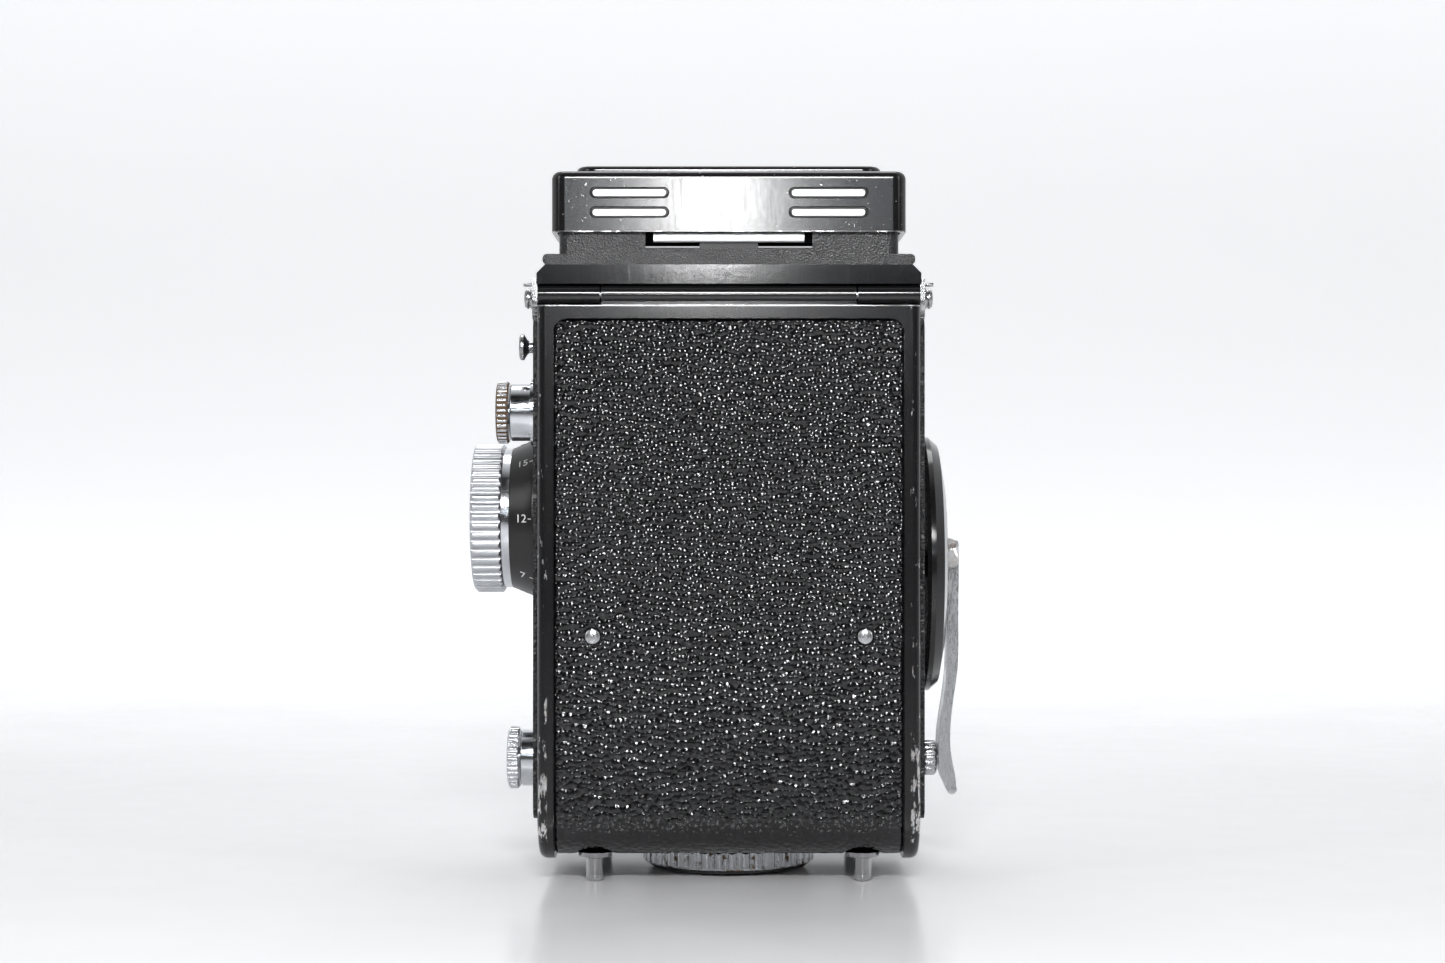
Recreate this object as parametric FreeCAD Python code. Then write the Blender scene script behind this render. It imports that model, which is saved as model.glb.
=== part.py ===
"""Twin lens reflex camera for roll film, as separate pieces.

Millimetres. X runs across the camera (+X is the focus knob side, -X the crank
side), the lenses face -Y, the film door faces +Y and Z is up. The origin is the
centre of the tripod socket's mouth, in the face of the lock dial.
"""
import FreeCAD
import Part
import math
import os

V = FreeCAD.Vector

# ---------------------------------------------------------------- body shell
BODY_HALF_W = 39.2
BODY_FRONT = -31.0
BODY_REAR = 27.0
BODY_BOTTOM = 7.3
BODY_TOP = 126.0
WALL = 1.4
CHAMBER_HALF_W = 33.0          # film spools are 65.6 wide
INNER_WALL = 1.4
LEATHER_T = 1.0
FRONT_PLATE = 2.0

# ---------------------------------------------------------------- optics
TAKE_Z = 57.5
VIEW_Z = TAKE_Z + 42.0
FILM_Y = 25.0
LENS_Y = -55.0                 # rear nodal point of the taking lens at infinity
GATE_HALF = 27.5
BAFFLE_FRONT = -9.0
BAFFLE_WALL = 1.0
MIRROR_CROSS_Y = -5.0          # where the mirror meets the viewing axis
MIRROR_T = 1.2
MIRROR_UP = 23.0
MIRROR_DOWN = 14.0
MIRROR_HALF_W = 26.5
SCREEN_HALF_W = 27.5
SCREEN_Y = (-28.5, 21.5)
SCREEN_Z = (126.0, 127.8)

# ---------------------------------------------------------------- back door
DOOR_HALF_W = 39.0
DOOR_OUT = 30.5                # crest of the rims
DOOR_SKIN = 29.0               # metal under the leather
DOOR_IN = 27.3
DOOR_TOP = 117.7
DOOR_BOTTOM = 4.0
DOOR_BOTTOM_SKIN = 5.5
DOOR_BOTTOM_IN = 7.0
DOOR_FRONT = -29.0
DOOR_CORNER_R = 10.0
RIM_W = 3.2
RIM_ROUND = 1.6
HINGE_Y = 28.4
HINGE_Z = 119.9
HINGE_R = 1.8
HINGE_PIN_R = 0.8
SCREW_X = 27.8
SCREW_Z = 50.2
FOOT_X = 27.6
FOOT_Y = 22.0
FOOT_R = 1.85
FOOT_FLANGE_R = 3.5
FOOT_BOTTOM = -0.6

# ---------------------------------------------------------------- lock dial
DIAL_R = 18.3
DIAL_TOP = 4.7
DIAL_SILVER_BOTTOM = 0.75
DIAL_BORE_R = 8.3
DIAL_FLUTES = 40
BUSH_R = 8.0
TRIPOD_R = 3.175               # 1/4 inch tripod thread

# ---------------------------------------------------------------- film transport
SPOOL_Y = 12.0
SPOOL_Z = 96.3
SUPPLY_Y = 2.0
SUPPLY_Z = 22.8
SPOOL_FLANGE_R = 12.5
SPOOL_CORE_R = 6.0
SPOOL_HALF_L = 32.4
SPOOL_HOLE_R = 2.75
ROLLER_R = 2.4
ROLLER_Y = 22.8
ROLLER_Z = (26.6, 88.4)
ROLLER_PIN_R = 0.8
ROLLER_HALF_L = 29.0
GATE_PLATE_Z = (29.2, 85.8)
GATE_OPEN = 27.2
GEAR_MODULE = 0.8
CRANK_TEETH = 35
IDLER_TEETH = 18
SPOOL_TEETH = 20
GEAR_X = (-37.2, -35.2)
BACKLASH = 0.16

# ---------------------------------------------------------------- crank
CRANK_Y = -3.0
CRANK_Z = 64.1
CRANK_DISC_R = 27.25
CRANK_DISC_X = (-46.2, -41.0)
CRANK_SHAFT_R = 3.0
ARM_PIVOT_X = -47.9
ARM_PIVOT_Z = CRANK_Z + 4.0
ARM_EYE_R = 1.5
ARM_PIN_R = 0.65
ARM_HALF_W = 4.2
HANDLE_Z = 22.3
HANDLE_R = 3.75

# ---------------------------------------------------------------- knobs, +X side
KNOB_RIM_R = 6.6
KNOB_RIM_X = (46.0, 48.6)
KNOB_BARREL_R = 6.0
LOWER_RIM_X = (44.5, 47.0)
KNOB_SHAFT_R = 2.4
KNOB_FLUTES = 36
FOCUS_Y = -13.5
FOCUS_Z = 73.8
FOCUS_RIM_R = 16.25
FOCUS_RIM_X = (48.8, 55.8)
FOCUS_RING_R = 15.25
FOCUS_SKIRT_R = (17.25, 15.25)
FOCUS_SKIRT_X = (41.6, 47.1)
FOCUS_FLUTES = 48
FOCUS_SHAFT_R = 1.5
FOCUS_TRAVEL = 9.5
FOCUS_TURN = math.radians(300.0)
CAM_X = (29.6, 31.6)
CAM_R = 5.0

# ---------------------------------------------------------------- lens board
BOARD_HALF_W = 29.0
BOARD_Z = (31.5, 121.5)
BOARD_Y = (-50.0, -34.5)
BOARD_WALL = 2.0
SKIRT_HALF_W = 26.5
SKIRT_Z = (34.0, 118.0)
SKIRT_REAR = -21.5
LENS_FRONT = -70.5
BARREL_R = 15.5
BAYONET_R = 17.4
WHEEL_X = 17.0
WHEEL_R = 8.3
BUTTON_X = -22.5
BUTTON_Z = 38.5

# ---------------------------------------------------------------- viewing hood
FLANGE_TOP = 128.2
FLANGE_HALF_W = 38.0
FRAME_HALF_W = 34.8
FRAME_Y = (-29.6, 27.0)
FRAME_TOP = 133.1
LID_HALF_W = 36.3
LID_Y = (-32.0, 28.3)
LID_BOTTOM = 132.8
LID_TOP = 145.3
LID_WALL = 1.1
LID_PANEL_TOP = 147.5
LID_HINGE_Y = -29.9
LID_HINGE_Z = 135.8
FLAP_T = 0.6
SIDE_FLAP_Z = 134.4
SIDE_FLAP_X = 33.0
FLAP_L = 19.5
REAR_FLAP_Z = 135.8
REAR_FLAP_Y = 25.0
LOUPE_PIVOT_Y = 15.0
LOUPE_PIVOT_Z = 141.6
LOUPE_HALF_W = 12.6
LOUPE_L = 27.0


# ================================================================ helpers
def box(x0, x1, y0, y1, z0, z1):
    """Block between two corners."""
    return Part.makeBox(x1 - x0, y1 - y0, z1 - z0, V(x0, y0, z0))


def rod_x(y, z, r, x0, x1):
    """Cylinder along X."""
    return Part.makeCylinder(r, x1 - x0, V(x0, y, z), V(1, 0, 0))


def rod_y(x, z, r, y0, y1):
    """Cylinder along Y."""
    return Part.makeCylinder(r, y1 - y0, V(x, y0, z), V(0, 1, 0))


def rod_z(x, y, r, z0, z1):
    """Cylinder along Z."""
    return Part.makeCylinder(r, z1 - z0, V(x, y, z0), V(0, 0, 1))


def join(*solids):
    """Union of solids, with shared faces merged."""
    total = solids[0]
    for solid in solids[1:]:
        total = total.fuse(solid)
    return total.removeSplitter()


def less(solid, *tools):
    """Solid with the tools cut away."""
    for tool in tools:
        solid = solid.cut(tool)
    return solid


def mirrored(shape):
    """Copy on the other side of the YZ plane."""
    return shape.mirror(V(0, 0, 0), V(1, 0, 0))


def prism(points, direction):
    """Extruded polygon."""
    wire = Part.makePolygon(points + [points[0]])
    return Part.Face(wire).extrude(direction)


def turned_x(profile, y, z):
    """Body of revolution about an X line; profile is a list of (x, r)."""
    points = [V(x, y, z + r) for x, r in profile]
    wire = Part.makePolygon(points + [points[0]])
    return Part.Face(wire).revolve(V(0, y, z), V(1, 0, 0), 360)


def turned_y(profile, x, z):
    """Body of revolution about a Y line; profile is a list of (y, r)."""
    points = [V(x, y, z + r) for y, r in profile]
    wire = Part.makePolygon(points + [points[0]])
    return Part.Face(wire).revolve(V(x, 0, z), V(0, 1, 0), 360)


def turned_z(profile):
    """Body of revolution about the Z axis; profile is a list of (z, r)."""
    points = [V(r, 0, z) for z, r in profile]
    wire = Part.makePolygon(points + [points[0]])
    return Part.Face(wire).revolve(V(0, 0, 0), V(0, 0, 1), 360)


def rounded_edges(solid, radius, wanted):
    """Fillet the edges that the test picks."""
    edges = [edge for edge in solid.Edges if wanted(edge)]
    return solid.makeFillet(radius, edges)


def along(axis):
    """Test for straight edges that run along one axis."""
    def test(edge):
        start = edge.Vertexes[0].Point
        end = edge.Vertexes[-1].Point
        step = end - start
        return step.Length > 1e-6 and abs(step.dot(axis)) > 0.999 * step.Length
    return test


def fluted(radius, depth, count, height):
    """Disc with round-bottomed flutes, standing on the XY plane."""
    pitch = 2 * math.pi / count
    edges = []
    for i in range(count):
        start = i * pitch
        crest = start + 0.25 * pitch
        land = start + 0.5 * pitch
        valley = start + 0.75 * pitch
        end = start + pitch

        def at(r, angle):
            return V(r * math.cos(angle), r * math.sin(angle), 0)

        edges.append(Part.Arc(at(radius - 0.3 * depth, start), at(radius, crest),
                              at(radius - 0.3 * depth, land)).toShape())
        edges.append(Part.Arc(at(radius - 0.3 * depth, land), at(radius - depth, valley),
                              at(radius - 0.3 * depth, end)).toShape())
    return Part.Face(Part.Wire(edges)).extrude(V(0, 0, height))


def stand_on_x(shape, x, y, z):
    """Turn a shape made along Z so that it lies along +X from a point."""
    turned = shape.copy()
    turned.rotate(V(0, 0, 0), V(0, 1, 0), 90)
    turned.translate(V(x, y, z))
    return turned


def involute_gear(teeth, module, thickness, phase):
    """Spur gear on the XY plane, with its first tooth at the angle phase."""
    pitch_r = teeth * module / 2
    base_r = pitch_r * math.cos(math.radians(20))
    tip_r = pitch_r + 0.92 * module
    root_r = pitch_r - 1.25 * module
    half_tooth = math.pi / (2 * teeth) - BACKLASH / (2 * pitch_r)

    def flank_angle(r):
        if r <= base_r:
            return half_tooth + inv(math.radians(20))
        return half_tooth + inv(math.radians(20)) - inv(math.acos(base_r / r))

    def inv(angle):
        return math.tan(angle) - angle

    radii = [max(root_r, base_r * 0.985) + (tip_r - max(root_r, base_r * 0.985)) * k / 5
             for k in range(6)]
    points = []
    for i in range(teeth):
        centre = phase + 2 * math.pi * i / teeth
        outline = [(root_r, -flank_angle(base_r) - 0.01)]
        outline += [(r, -flank_angle(r)) for r in radii]
        outline += [(r, flank_angle(r)) for r in reversed(radii)]
        outline += [(root_r, flank_angle(base_r) + 0.01)]
        for r, offset in outline:
            points.append(V(r * math.cos(centre + offset), r * math.sin(centre + offset), 0))
    return prism(points, V(0, 0, thickness))


# ================================================================ camera body
def body_casting():
    """Hollow box with the film and mirror space, side gear spaces and top rim."""
    shell = box(-BODY_HALF_W, BODY_HALF_W, BODY_FRONT, BODY_REAR, BODY_BOTTOM, BODY_TOP)
    lower_rear = rounded_edges(shell, 7.3, lambda e: along(V(1, 0, 0))(e)
                               and e.BoundBox.ZMax < 10 and e.BoundBox.YMin > 20)
    shell = rounded_edges(lower_rear, 3.0, lambda e: along(V(0, 0, 1))(e) and e.BoundBox.YMax < 0)
    band = box(-BODY_HALF_W, BODY_HALF_W, BODY_REAR - 1, 29.6, 122.1, BODY_TOP)
    shell = join(shell, band)
    top_corner = prism([V(37.4, -40, 126.1), V(39.3, -40, 124.2), V(40, -40, 127)], V(0, 80, 0))
    front_top = shell.cut(top_corner).cut(mirrored(top_corner))
    main = box(-CHAMBER_HALF_W, CHAMBER_HALF_W, BODY_FRONT + FRONT_PLATE, 40,
               BODY_BOTTOM + WALL, BODY_TOP - WALL - 0.1)
    main = main.cut(box(-50, 50, BODY_REAR + 0.05, 50, 121.0, 130))
    light_well = box(-26, 26, -27, 20, 120, 130)
    lens_window = box(-SKIRT_HALF_W - 0.3, SKIRT_HALF_W + 0.3, -40, -20,
                      SKIRT_Z[0] - 0.3, SKIRT_Z[1] + 0.3)
    strut_slot = box(CAM_X[0] - 0.4, CAM_X[1] + 0.4, -40, -20, FOCUS_Z - 2.4, FOCUS_Z + 2.4)
    gear_space = box(-BODY_HALF_W + WALL, -CHAMBER_HALF_W - INNER_WALL, -24, 24, 14, 118)
    groove = rod_x(HINGE_Y, HINGE_Z, HINGE_R + 0.35, -26.2, 26.2)
    groove = groove.fuse(box(-26.2, 26.2, 26.4, 40, 116, HINGE_Z))
    casting = less(front_top, main, light_well, lens_window, strut_slot, gear_space,
                   mirrored(gear_space), groove)
    casting = less(casting,
                   rod_x(CRANK_Y, CRANK_Z, CRANK_SHAFT_R + 0.06, -50, -37),
                   rod_x(SPOOL_Y, SPOOL_Z, KNOB_SHAFT_R + 0.06, -35, -32),
                   rod_x(FOCUS_Y, FOCUS_Z, FOCUS_SHAFT_R + 0.05, 32, 50))
    for y, z in ((SPOOL_Y, SPOOL_Z), (SUPPLY_Y, SUPPLY_Z)):
        casting = less(casting, rod_x(y, z, KNOB_SHAFT_R + 0.06, 32, 35), rod_x(y, z, 4.4, 37, 50))
    return join(casting, *body_knuckles(), *mirror_rails(), idler_stud())


def body_knuckles():
    """The two end barrels of the door hinge, joined to the casting."""
    knuckles = []
    for side in (1, -1):
        x0 = min(side * 26.3, side * 38.9)
        barrel = rod_x(HINGE_Y, HINGE_Z, HINGE_R, x0, x0 + 12.6)
        web = box(x0, x0 + 12.6, BODY_REAR - 1.5, HINGE_Y, 118.6, 121.4)
        knuckles.append(less(barrel.fuse(web), rod_x(HINGE_Y, HINGE_Z, HINGE_PIN_R + 0.01, -50, 50)))
    return knuckles


def hinge_pin():
    """Pin of the door hinge."""
    return rod_x(HINGE_Y, HINGE_Z, HINGE_PIN_R, -38.6, 38.6)


def side_leather(holes):
    """Leather panel on the +X wall, with round holes given as (y, z, r)."""
    panel = box(BODY_HALF_W, BODY_HALF_W + LEATHER_T, -28, 25.4, 12.4, 115.6)
    panel = rounded_edges(panel, 3.0, along(V(1, 0, 0)))
    for y, z, r in holes:
        panel = panel.cut(rod_x(y, z, r, 30, 50))
    return panel


def front_leather():
    """Two leather strips on the front, one each side of the lens board."""
    strip = box(27.2, BODY_HALF_W - 2.6, BODY_FRONT - 0.9, BODY_FRONT, 12.4, 120)
    strip = rounded_edges(strip, 1.5, along(V(0, 1, 0)))
    cam_way = box(CAM_X[0] - 0.4, CAM_X[1] + 0.4, -40, -20, FOCUS_Z - 2.4, FOCUS_Z + 2.4)
    return Part.makeCompound([strip.cut(cam_way), mirrored(strip)])


def light_baffle():
    """Square funnel between the lens and the film gate."""
    def ring(y, half):
        corners = [V(-half, y, TAKE_Z - half), V(half, y, TAKE_Z - half),
                   V(half, y, TAKE_Z + half), V(-half, y, TAKE_Z + half)]
        return Part.makePolygon(corners + [corners[0]])

    def half_at(y):
        return GATE_HALF * (y - LENS_Y) / (FILM_Y - LENS_Y)

    rear = FILM_Y - 1.0
    outer = Part.makeLoft([ring(BAFFLE_FRONT, half_at(BAFFLE_FRONT) + BAFFLE_WALL),
                           ring(rear, half_at(rear) + BAFFLE_WALL)], True, True)
    inner = Part.makeLoft([ring(BAFFLE_FRONT - 1, half_at(BAFFLE_FRONT - 1)),
                           ring(rear + 1, half_at(rear + 1))], True, True)
    return outer.cut(inner)


def film_gate():
    """Plate with the picture opening, film rails and the roller brackets."""
    plate = box(-CHAMBER_HALF_W, CHAMBER_HALF_W, FILM_Y - 1, FILM_Y, *GATE_PLATE_Z)
    plate = plate.cut(box(-GATE_OPEN, GATE_OPEN, 20, 30, TAKE_Z - GATE_OPEN, TAKE_Z + GATE_OPEN))
    for side in (1, -1):
        x0 = min(side * 29.3, side * 30.3)
        low = box(x0, x0 + 1, ROLLER_Y - 1.6, FILM_Y - 0.1, ROLLER_Z[0] - 1.6, GATE_PLATE_Z[0] + 2)
        high = box(x0, x0 + 1, ROLLER_Y - 1.6, FILM_Y - 0.1, GATE_PLATE_Z[1] - 2, ROLLER_Z[1] + 1.6)
        plate = join(plate, low, high)
    for z in ROLLER_Z:
        plate = plate.cut(rod_x(ROLLER_Y, z, ROLLER_PIN_R + 0.05, -40, 40))
    return plate


def film_roller(z):
    """Roller that carries the film past an edge of the gate."""
    barrel = rod_x(ROLLER_Y, z, ROLLER_R, -ROLLER_HALF_L, ROLLER_HALF_L)
    waist = less(rod_x(ROLLER_Y, z, ROLLER_R + 1, -26, 26), rod_x(ROLLER_Y, z, ROLLER_R - 0.3, -26, 26))
    pins = rod_x(ROLLER_Y, z, ROLLER_PIN_R, -30.2, 30.2)
    return join(barrel.cut(waist), pins)


def slanted_slab(x0, x1):
    """Slab on the mirror plane, at 45 degrees, between two X places."""
    top = V(x0, MIRROR_CROSS_Y + MIRROR_UP, VIEW_Z + MIRROR_UP)
    low = V(x0, MIRROR_CROSS_Y - MIRROR_DOWN, VIEW_Z - MIRROR_DOWN)
    back = V(0, MIRROR_T / math.sqrt(2), -MIRROR_T / math.sqrt(2))
    return prism([low, top, top + back, low + back], V(x1 - x0, 0, 0))


def mirror_rails():
    """Slanted rails of the casting that hold the mirror's edges."""
    rail = slanted_slab(MIRROR_HALF_W, CHAMBER_HALF_W + 0.1)
    cam_sweep = CAM_R + FOCUS_TRAVEL + 0.6
    rail = rail.cut(rod_x(FOCUS_Y, FOCUS_Z, cam_sweep, CAM_X[0] - 0.6, CAM_X[1] + 0.6))
    return [rail, mirrored(rail)]


def focusing_screen():
    """Ground glass under the hood."""
    return box(-SCREEN_HALF_W, SCREEN_HALF_W, SCREEN_Y[0], SCREEN_Y[1], *SCREEN_Z)


def strap_lug():
    """Plate with a domed two-groove stud and a small lever, +X side."""
    plate = box(40.9, 42.2, -8.5, 0.5, 120.7, 125.3)
    plate = join(plate, rod_x(-4, 120.7, 4.5, 40.9, 42.2))
    base = box(BODY_HALF_W, 40.9, -7, -1, 117.4, 123.6)
    stud = turned_x([(42.2, 0), (42.2, 2.3), (42.7, 2.3), (42.8, 2.0), (43.0, 2.0), (43.1, 2.3),
                     (43.5, 2.3), (43.6, 2.0), (43.8, 2.0), (44.0, 1.7), (44.2, 0)], -4, 121.3)
    lever = box(42.1, 44.5, -8.4, -6.8, 124.1, 124.9)
    return join(plate, base, stud, lever)


def side_stud():
    """Small dished mushroom stud on the focus side."""
    return turned_x([(BODY_HALF_W, 0), (BODY_HALF_W, 1.25), (41.9, 1.25), (42.3, 1.6), (43.0, 2.75),
                     (43.6, 2.75), (43.9, 2.45), (43.3, 1.4), (43.1, 0)], SPOOL_Y, 110.0)


def knob_bush(y, z, barrel_end):
    """Fixed polished barrel that a spool knob is pulled out of."""
    washer = rod_x(y, z, 7.0, BODY_HALF_W, 41.4)
    barrel = rod_x(y, z, KNOB_BARREL_R, 41.4, barrel_end)
    barrel = rounded_edges(barrel, 0.4, lambda e: e.BoundBox.XMin > barrel_end - 0.1)
    return less(washer.fuse(barrel), rod_x(y, z, 4.4, 30, barrel_end - 1.2),
                rod_x(y, z, KNOB_SHAFT_R + 0.06, 30, 60)).removeSplitter()


def spool_knob(y, z, rim):
    """Knurled knob, its shaft, collar and spool pin."""
    disc = fluted(KNOB_RIM_R, 0.35, KNOB_FLUTES, rim[1] - rim[0])
    cone = turned_x([(rim[0], 0), (rim[0], 6.1), (rim[0] + 0.5, 6.7), (rim[1] - 0.6, 6.7),
                     (rim[1], 5.9), (rim[1] - 0.3, 0)], y, z)
    disc = stand_on_x(disc, rim[0], y, z).common(cone)
    shaft = rod_x(y, z, KNOB_SHAFT_R, 28.6, rim[0] + 0.5)
    collar = rod_x(y, z, 3.9, 35.4, 36.4)
    return join(disc, shaft, collar)


# ================================================================ film transport
def take_up_spool():
    """Empty film spool with two flanges and a slot in its core."""
    core = rod_x(SPOOL_Y, SPOOL_Z, SPOOL_CORE_R, -31.2, 31.2)
    ends = [rod_x(SPOOL_Y, SPOOL_Z, SPOOL_FLANGE_R, 31.0, SPOOL_HALF_L),
            rod_x(SPOOL_Y, SPOOL_Z, SPOOL_FLANGE_R, -SPOOL_HALF_L, -31.0)]
    spool = join(core, *ends)
    hole = rod_x(SPOOL_Y, SPOOL_Z, SPOOL_HOLE_R, -40, -25)
    slot = box(-20, 20, SPOOL_Y - 0.6, SPOOL_Y + 0.6, SPOOL_Z - 8, SPOOL_Z + 8)
    return less(spool, hole, mirrored(hole), slot)


def gear_on_x(teeth, y, z, angle):
    """Gear whose first tooth points at an angle from +Y towards +Z."""
    gear = involute_gear(teeth, GEAR_MODULE, GEAR_X[1] - GEAR_X[0], angle + math.pi / 2)
    return stand_on_x(gear, GEAR_X[0], y, z)


def idler_place():
    """Centre of the idler gear, in mesh with the crank gear and the spool gear."""
    d1 = GEAR_MODULE * (CRANK_TEETH + IDLER_TEETH) / 2 + 0.02
    d2 = GEAR_MODULE * (IDLER_TEETH + SPOOL_TEETH) / 2 + 0.02
    dy = SPOOL_Y - CRANK_Y
    dz = SPOOL_Z - CRANK_Z
    gap = math.hypot(dy, dz)
    along_line = (d1 ** 2 - d2 ** 2 + gap ** 2) / (2 * gap)
    aside = math.sqrt(d1 ** 2 - along_line ** 2)
    y = CRANK_Y + along_line * dy / gap + aside * dz / gap
    z = CRANK_Z + along_line * dz / gap - aside * dy / gap
    return y, z


def gear_angles():
    """First-tooth angles of the crank, idler and spool gears, so that they mesh."""
    y, z = idler_place()
    first = math.atan2(z - CRANK_Z, y - CRANK_Y)
    idler = first + math.pi - math.pi / IDLER_TEETH
    second = math.atan2(SPOOL_Z - z, SPOOL_Y - y)
    idler_share = (second - idler) * IDLER_TEETH / (2 * math.pi)
    spool = second + math.pi - 2 * math.pi / SPOOL_TEETH * (0.5 - idler_share)
    return first, idler, spool


def crank_gear():
    """Gear on the inner end of the crank shaft."""
    gear = gear_on_x(CRANK_TEETH, CRANK_Y, CRANK_Z, gear_angles()[0])
    return gear.cut(rod_x(CRANK_Y, CRANK_Z, CRANK_SHAFT_R, -40, -30))


def idler_gear():
    """Gear between the crank and the spool."""
    y, z = idler_place()
    gear = gear_on_x(IDLER_TEETH, y, z, gear_angles()[1])
    return gear.cut(rod_x(y, z, 1.55, -40, -30))


def idler_stud():
    """Stud of the casting that the idler turns on."""
    y, z = idler_place()
    return rod_x(y, z, 1.5, -37.5, -34.2)


def spool_gear():
    """Gear, journal and drive key of the take-up spool."""
    gear = gear_on_x(SPOOL_TEETH, SPOOL_Y, SPOOL_Z, gear_angles()[2])
    journal = rod_x(SPOOL_Y, SPOOL_Z, KNOB_SHAFT_R, GEAR_X[1] - 0.5, -29)
    return join(gear, journal)


# ================================================================ back door
def door_layer(y, z, corner, x):
    """Solid in front of an L-shaped surface with a rounded lower rear corner."""
    block = box(-x, x, -80, y, z, 200)
    return rounded_edges(block, corner, lambda e: along(V(1, 0, 0))(e)
                         and e.BoundBox.ZMax < z + 1 and e.BoundBox.YMin > y - 1)


def outer_rim_edge(edge):
    """Edge down the rear, round the corner or along the bottom of the door's side."""
    b = edge.BoundBox
    on_side = b.XLength < 0.01 and abs(abs(b.XMax) - DOOR_HALF_W) < 0.01
    upright = b.YMin > DOOR_OUT - 0.1 and b.ZLength > 50
    turned = b.YMax > DOOR_OUT - 0.1 and b.ZMin < DOOR_BOTTOM + 0.1
    under = b.ZMax < DOOR_BOTTOM + 0.1 and b.YLength > 30
    return on_side and (upright or turned or under)


def back_door():
    """Door shell: raised rims round a sunk skin, rear leg and bottom leg."""
    outer = door_layer(DOOR_OUT, DOOR_BOTTOM, DOOR_CORNER_R, DOOR_HALF_W)
    outer = outer.common(box(-50, 50, DOOR_FRONT, 50, 0, DOOR_TOP))
    outer = rounded_edges(outer, RIM_ROUND, outer_rim_edge)
    inner = door_layer(DOOR_IN, DOOR_BOTTOM_IN, 6.9, 60)
    skin = door_layer(DOOR_SKIN, DOOR_BOTTOM_SKIN, 8.5, 60)
    sunk = box(-DOOR_HALF_W + RIM_W, DOOR_HALF_W - RIM_W, DOOR_FRONT + RIM_W, 60,
               -10, DOOR_TOP - 2.7)
    sunk = rounded_edges(sunk, 3.0, lambda e: along(V(0, 1, 0))(e) and e.BoundBox.ZMin > 50)
    shell = less(outer, inner, sunk.cut(skin))
    web = box(-26, 26, DOOR_IN, 29.6, DOOR_TOP - 1, HINGE_Z - 1.2)
    barrel = rod_x(HINGE_Y, HINGE_Z, HINGE_R, -26, 26)
    shell = join(shell, web, barrel)
    shell = less(shell, rod_x(HINGE_Y, HINGE_Z, HINGE_PIN_R + 0.06, -50, 50),
                 rod_z(0, 0, BUSH_R, 0, 20))
    for x in (SCREW_X, -SCREW_X):
        shell = shell.cut(rod_y(x, SCREW_Z, 0.9, 20, 40))
    return shell


def back_leather():
    """Leather sheet in the door's sunk panel, round the lower corner."""
    skin = door_layer(DOOR_SKIN, DOOR_BOTTOM_SKIN, 8.5, 60)
    face = door_layer(DOOR_SKIN + 0.6, DOOR_BOTTOM_SKIN - 0.6, 9.1, DOOR_HALF_W - RIM_W - 0.15)
    field = box(-DOOR_HALF_W, DOOR_HALF_W, DOOR_FRONT + RIM_W + 0.15, 60, -10, DOOR_TOP - 2.85)
    sheet = face.common(field).cut(skin)
    sheet = rounded_edges(sheet, 2.8, lambda e: along(V(0, 1, 0))(e) and e.BoundBox.ZMin > 50)
    sheet = sheet.cut(rod_z(0, 0, DIAL_R + 0.8, -5, 20))
    for x in (SCREW_X, -SCREW_X):
        sheet = sheet.cut(rod_y(x, SCREW_Z, 1.65, 20, 40))
        for y in (FOOT_Y, -FOOT_Y):
            sheet = sheet.cut(rod_z(math.copysign(FOOT_X, x), y, FOOT_FLANGE_R + 0.2, -5, 20))
    return sheet


def door_screws():
    """Two slotted screws that hold the pressure spring."""
    screws = []
    for x in (SCREW_X, -SCREW_X):
        head = turned_y([(29.7, 0), (29.62, 0.8), (29.35, 1.5), (DOOR_SKIN, 1.5), (DOOR_SKIN, 0)],
                        x, SCREW_Z)
        head = head.cut(box(x - 0.2, x + 0.2, 29.3, 31, SCREW_Z - 2, SCREW_Z + 2))
        screws.append(join(head, rod_y(x, SCREW_Z, 0.85, 27.4, DOOR_SKIN)))
    return Part.makeCompound(screws)


def pressure_spring():
    """Bowed leaf spring between the door and the pressure plate."""
    def bow(offset):
        return Part.Arc(V(-28.8, DOOR_IN - offset, 46), V(0, 26.4 - offset, 46),
                        V(28.8, DOOR_IN - offset, 46))
    front = bow(0.25)
    rear = bow(0.02)
    ends = [Part.LineSegment(front.StartPoint, rear.StartPoint),
            Part.LineSegment(front.EndPoint, rear.EndPoint)]
    wire = Part.Wire(Part.__sortEdges__([c.toShape() for c in [front, rear] + ends]))
    return Part.Face(wire).extrude(V(0, 0, 8.4))


def pressure_plate():
    """Plate that holds the film flat against the gate."""
    plate = box(-28.6, 28.6, FILM_Y + 0.3, FILM_Y + 0.9, TAKE_Z - 27.6, TAKE_Z + 27.6)
    return rounded_edges(plate, 3.0, along(V(0, 1, 0)))


def feet():
    """Four turned feet under the door's bottom leg."""
    foot = turned_z([(FOOT_BOTTOM, 0), (FOOT_BOTTOM, 1.0), (FOOT_BOTTOM + 0.25, 1.5),
                     (FOOT_BOTTOM + 0.8, FOOT_R - 0.05), (FOOT_BOTTOM + 1.4, FOOT_R),
                     (4.2, FOOT_R), (4.45, 2.3), (4.6, FOOT_FLANGE_R),
                     (DOOR_BOTTOM_SKIN, FOOT_FLANGE_R), (DOOR_BOTTOM_SKIN, 0)])
    placed = []
    for x in (FOOT_X, -FOOT_X):
        for y in (FOOT_Y, -FOOT_Y):
            one = foot.copy()
            one.translate(V(x, y, 0))
            placed.append(one)
    return Part.makeCompound(placed)


def tripod_bush():
    """Threaded bush fixed in the door's bottom leg."""
    return rod_z(0, 0, BUSH_R, 0, DOOR_BOTTOM_IN).cut(rod_z(0, 0, TRIPOD_R, -1, 6.0))


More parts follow.
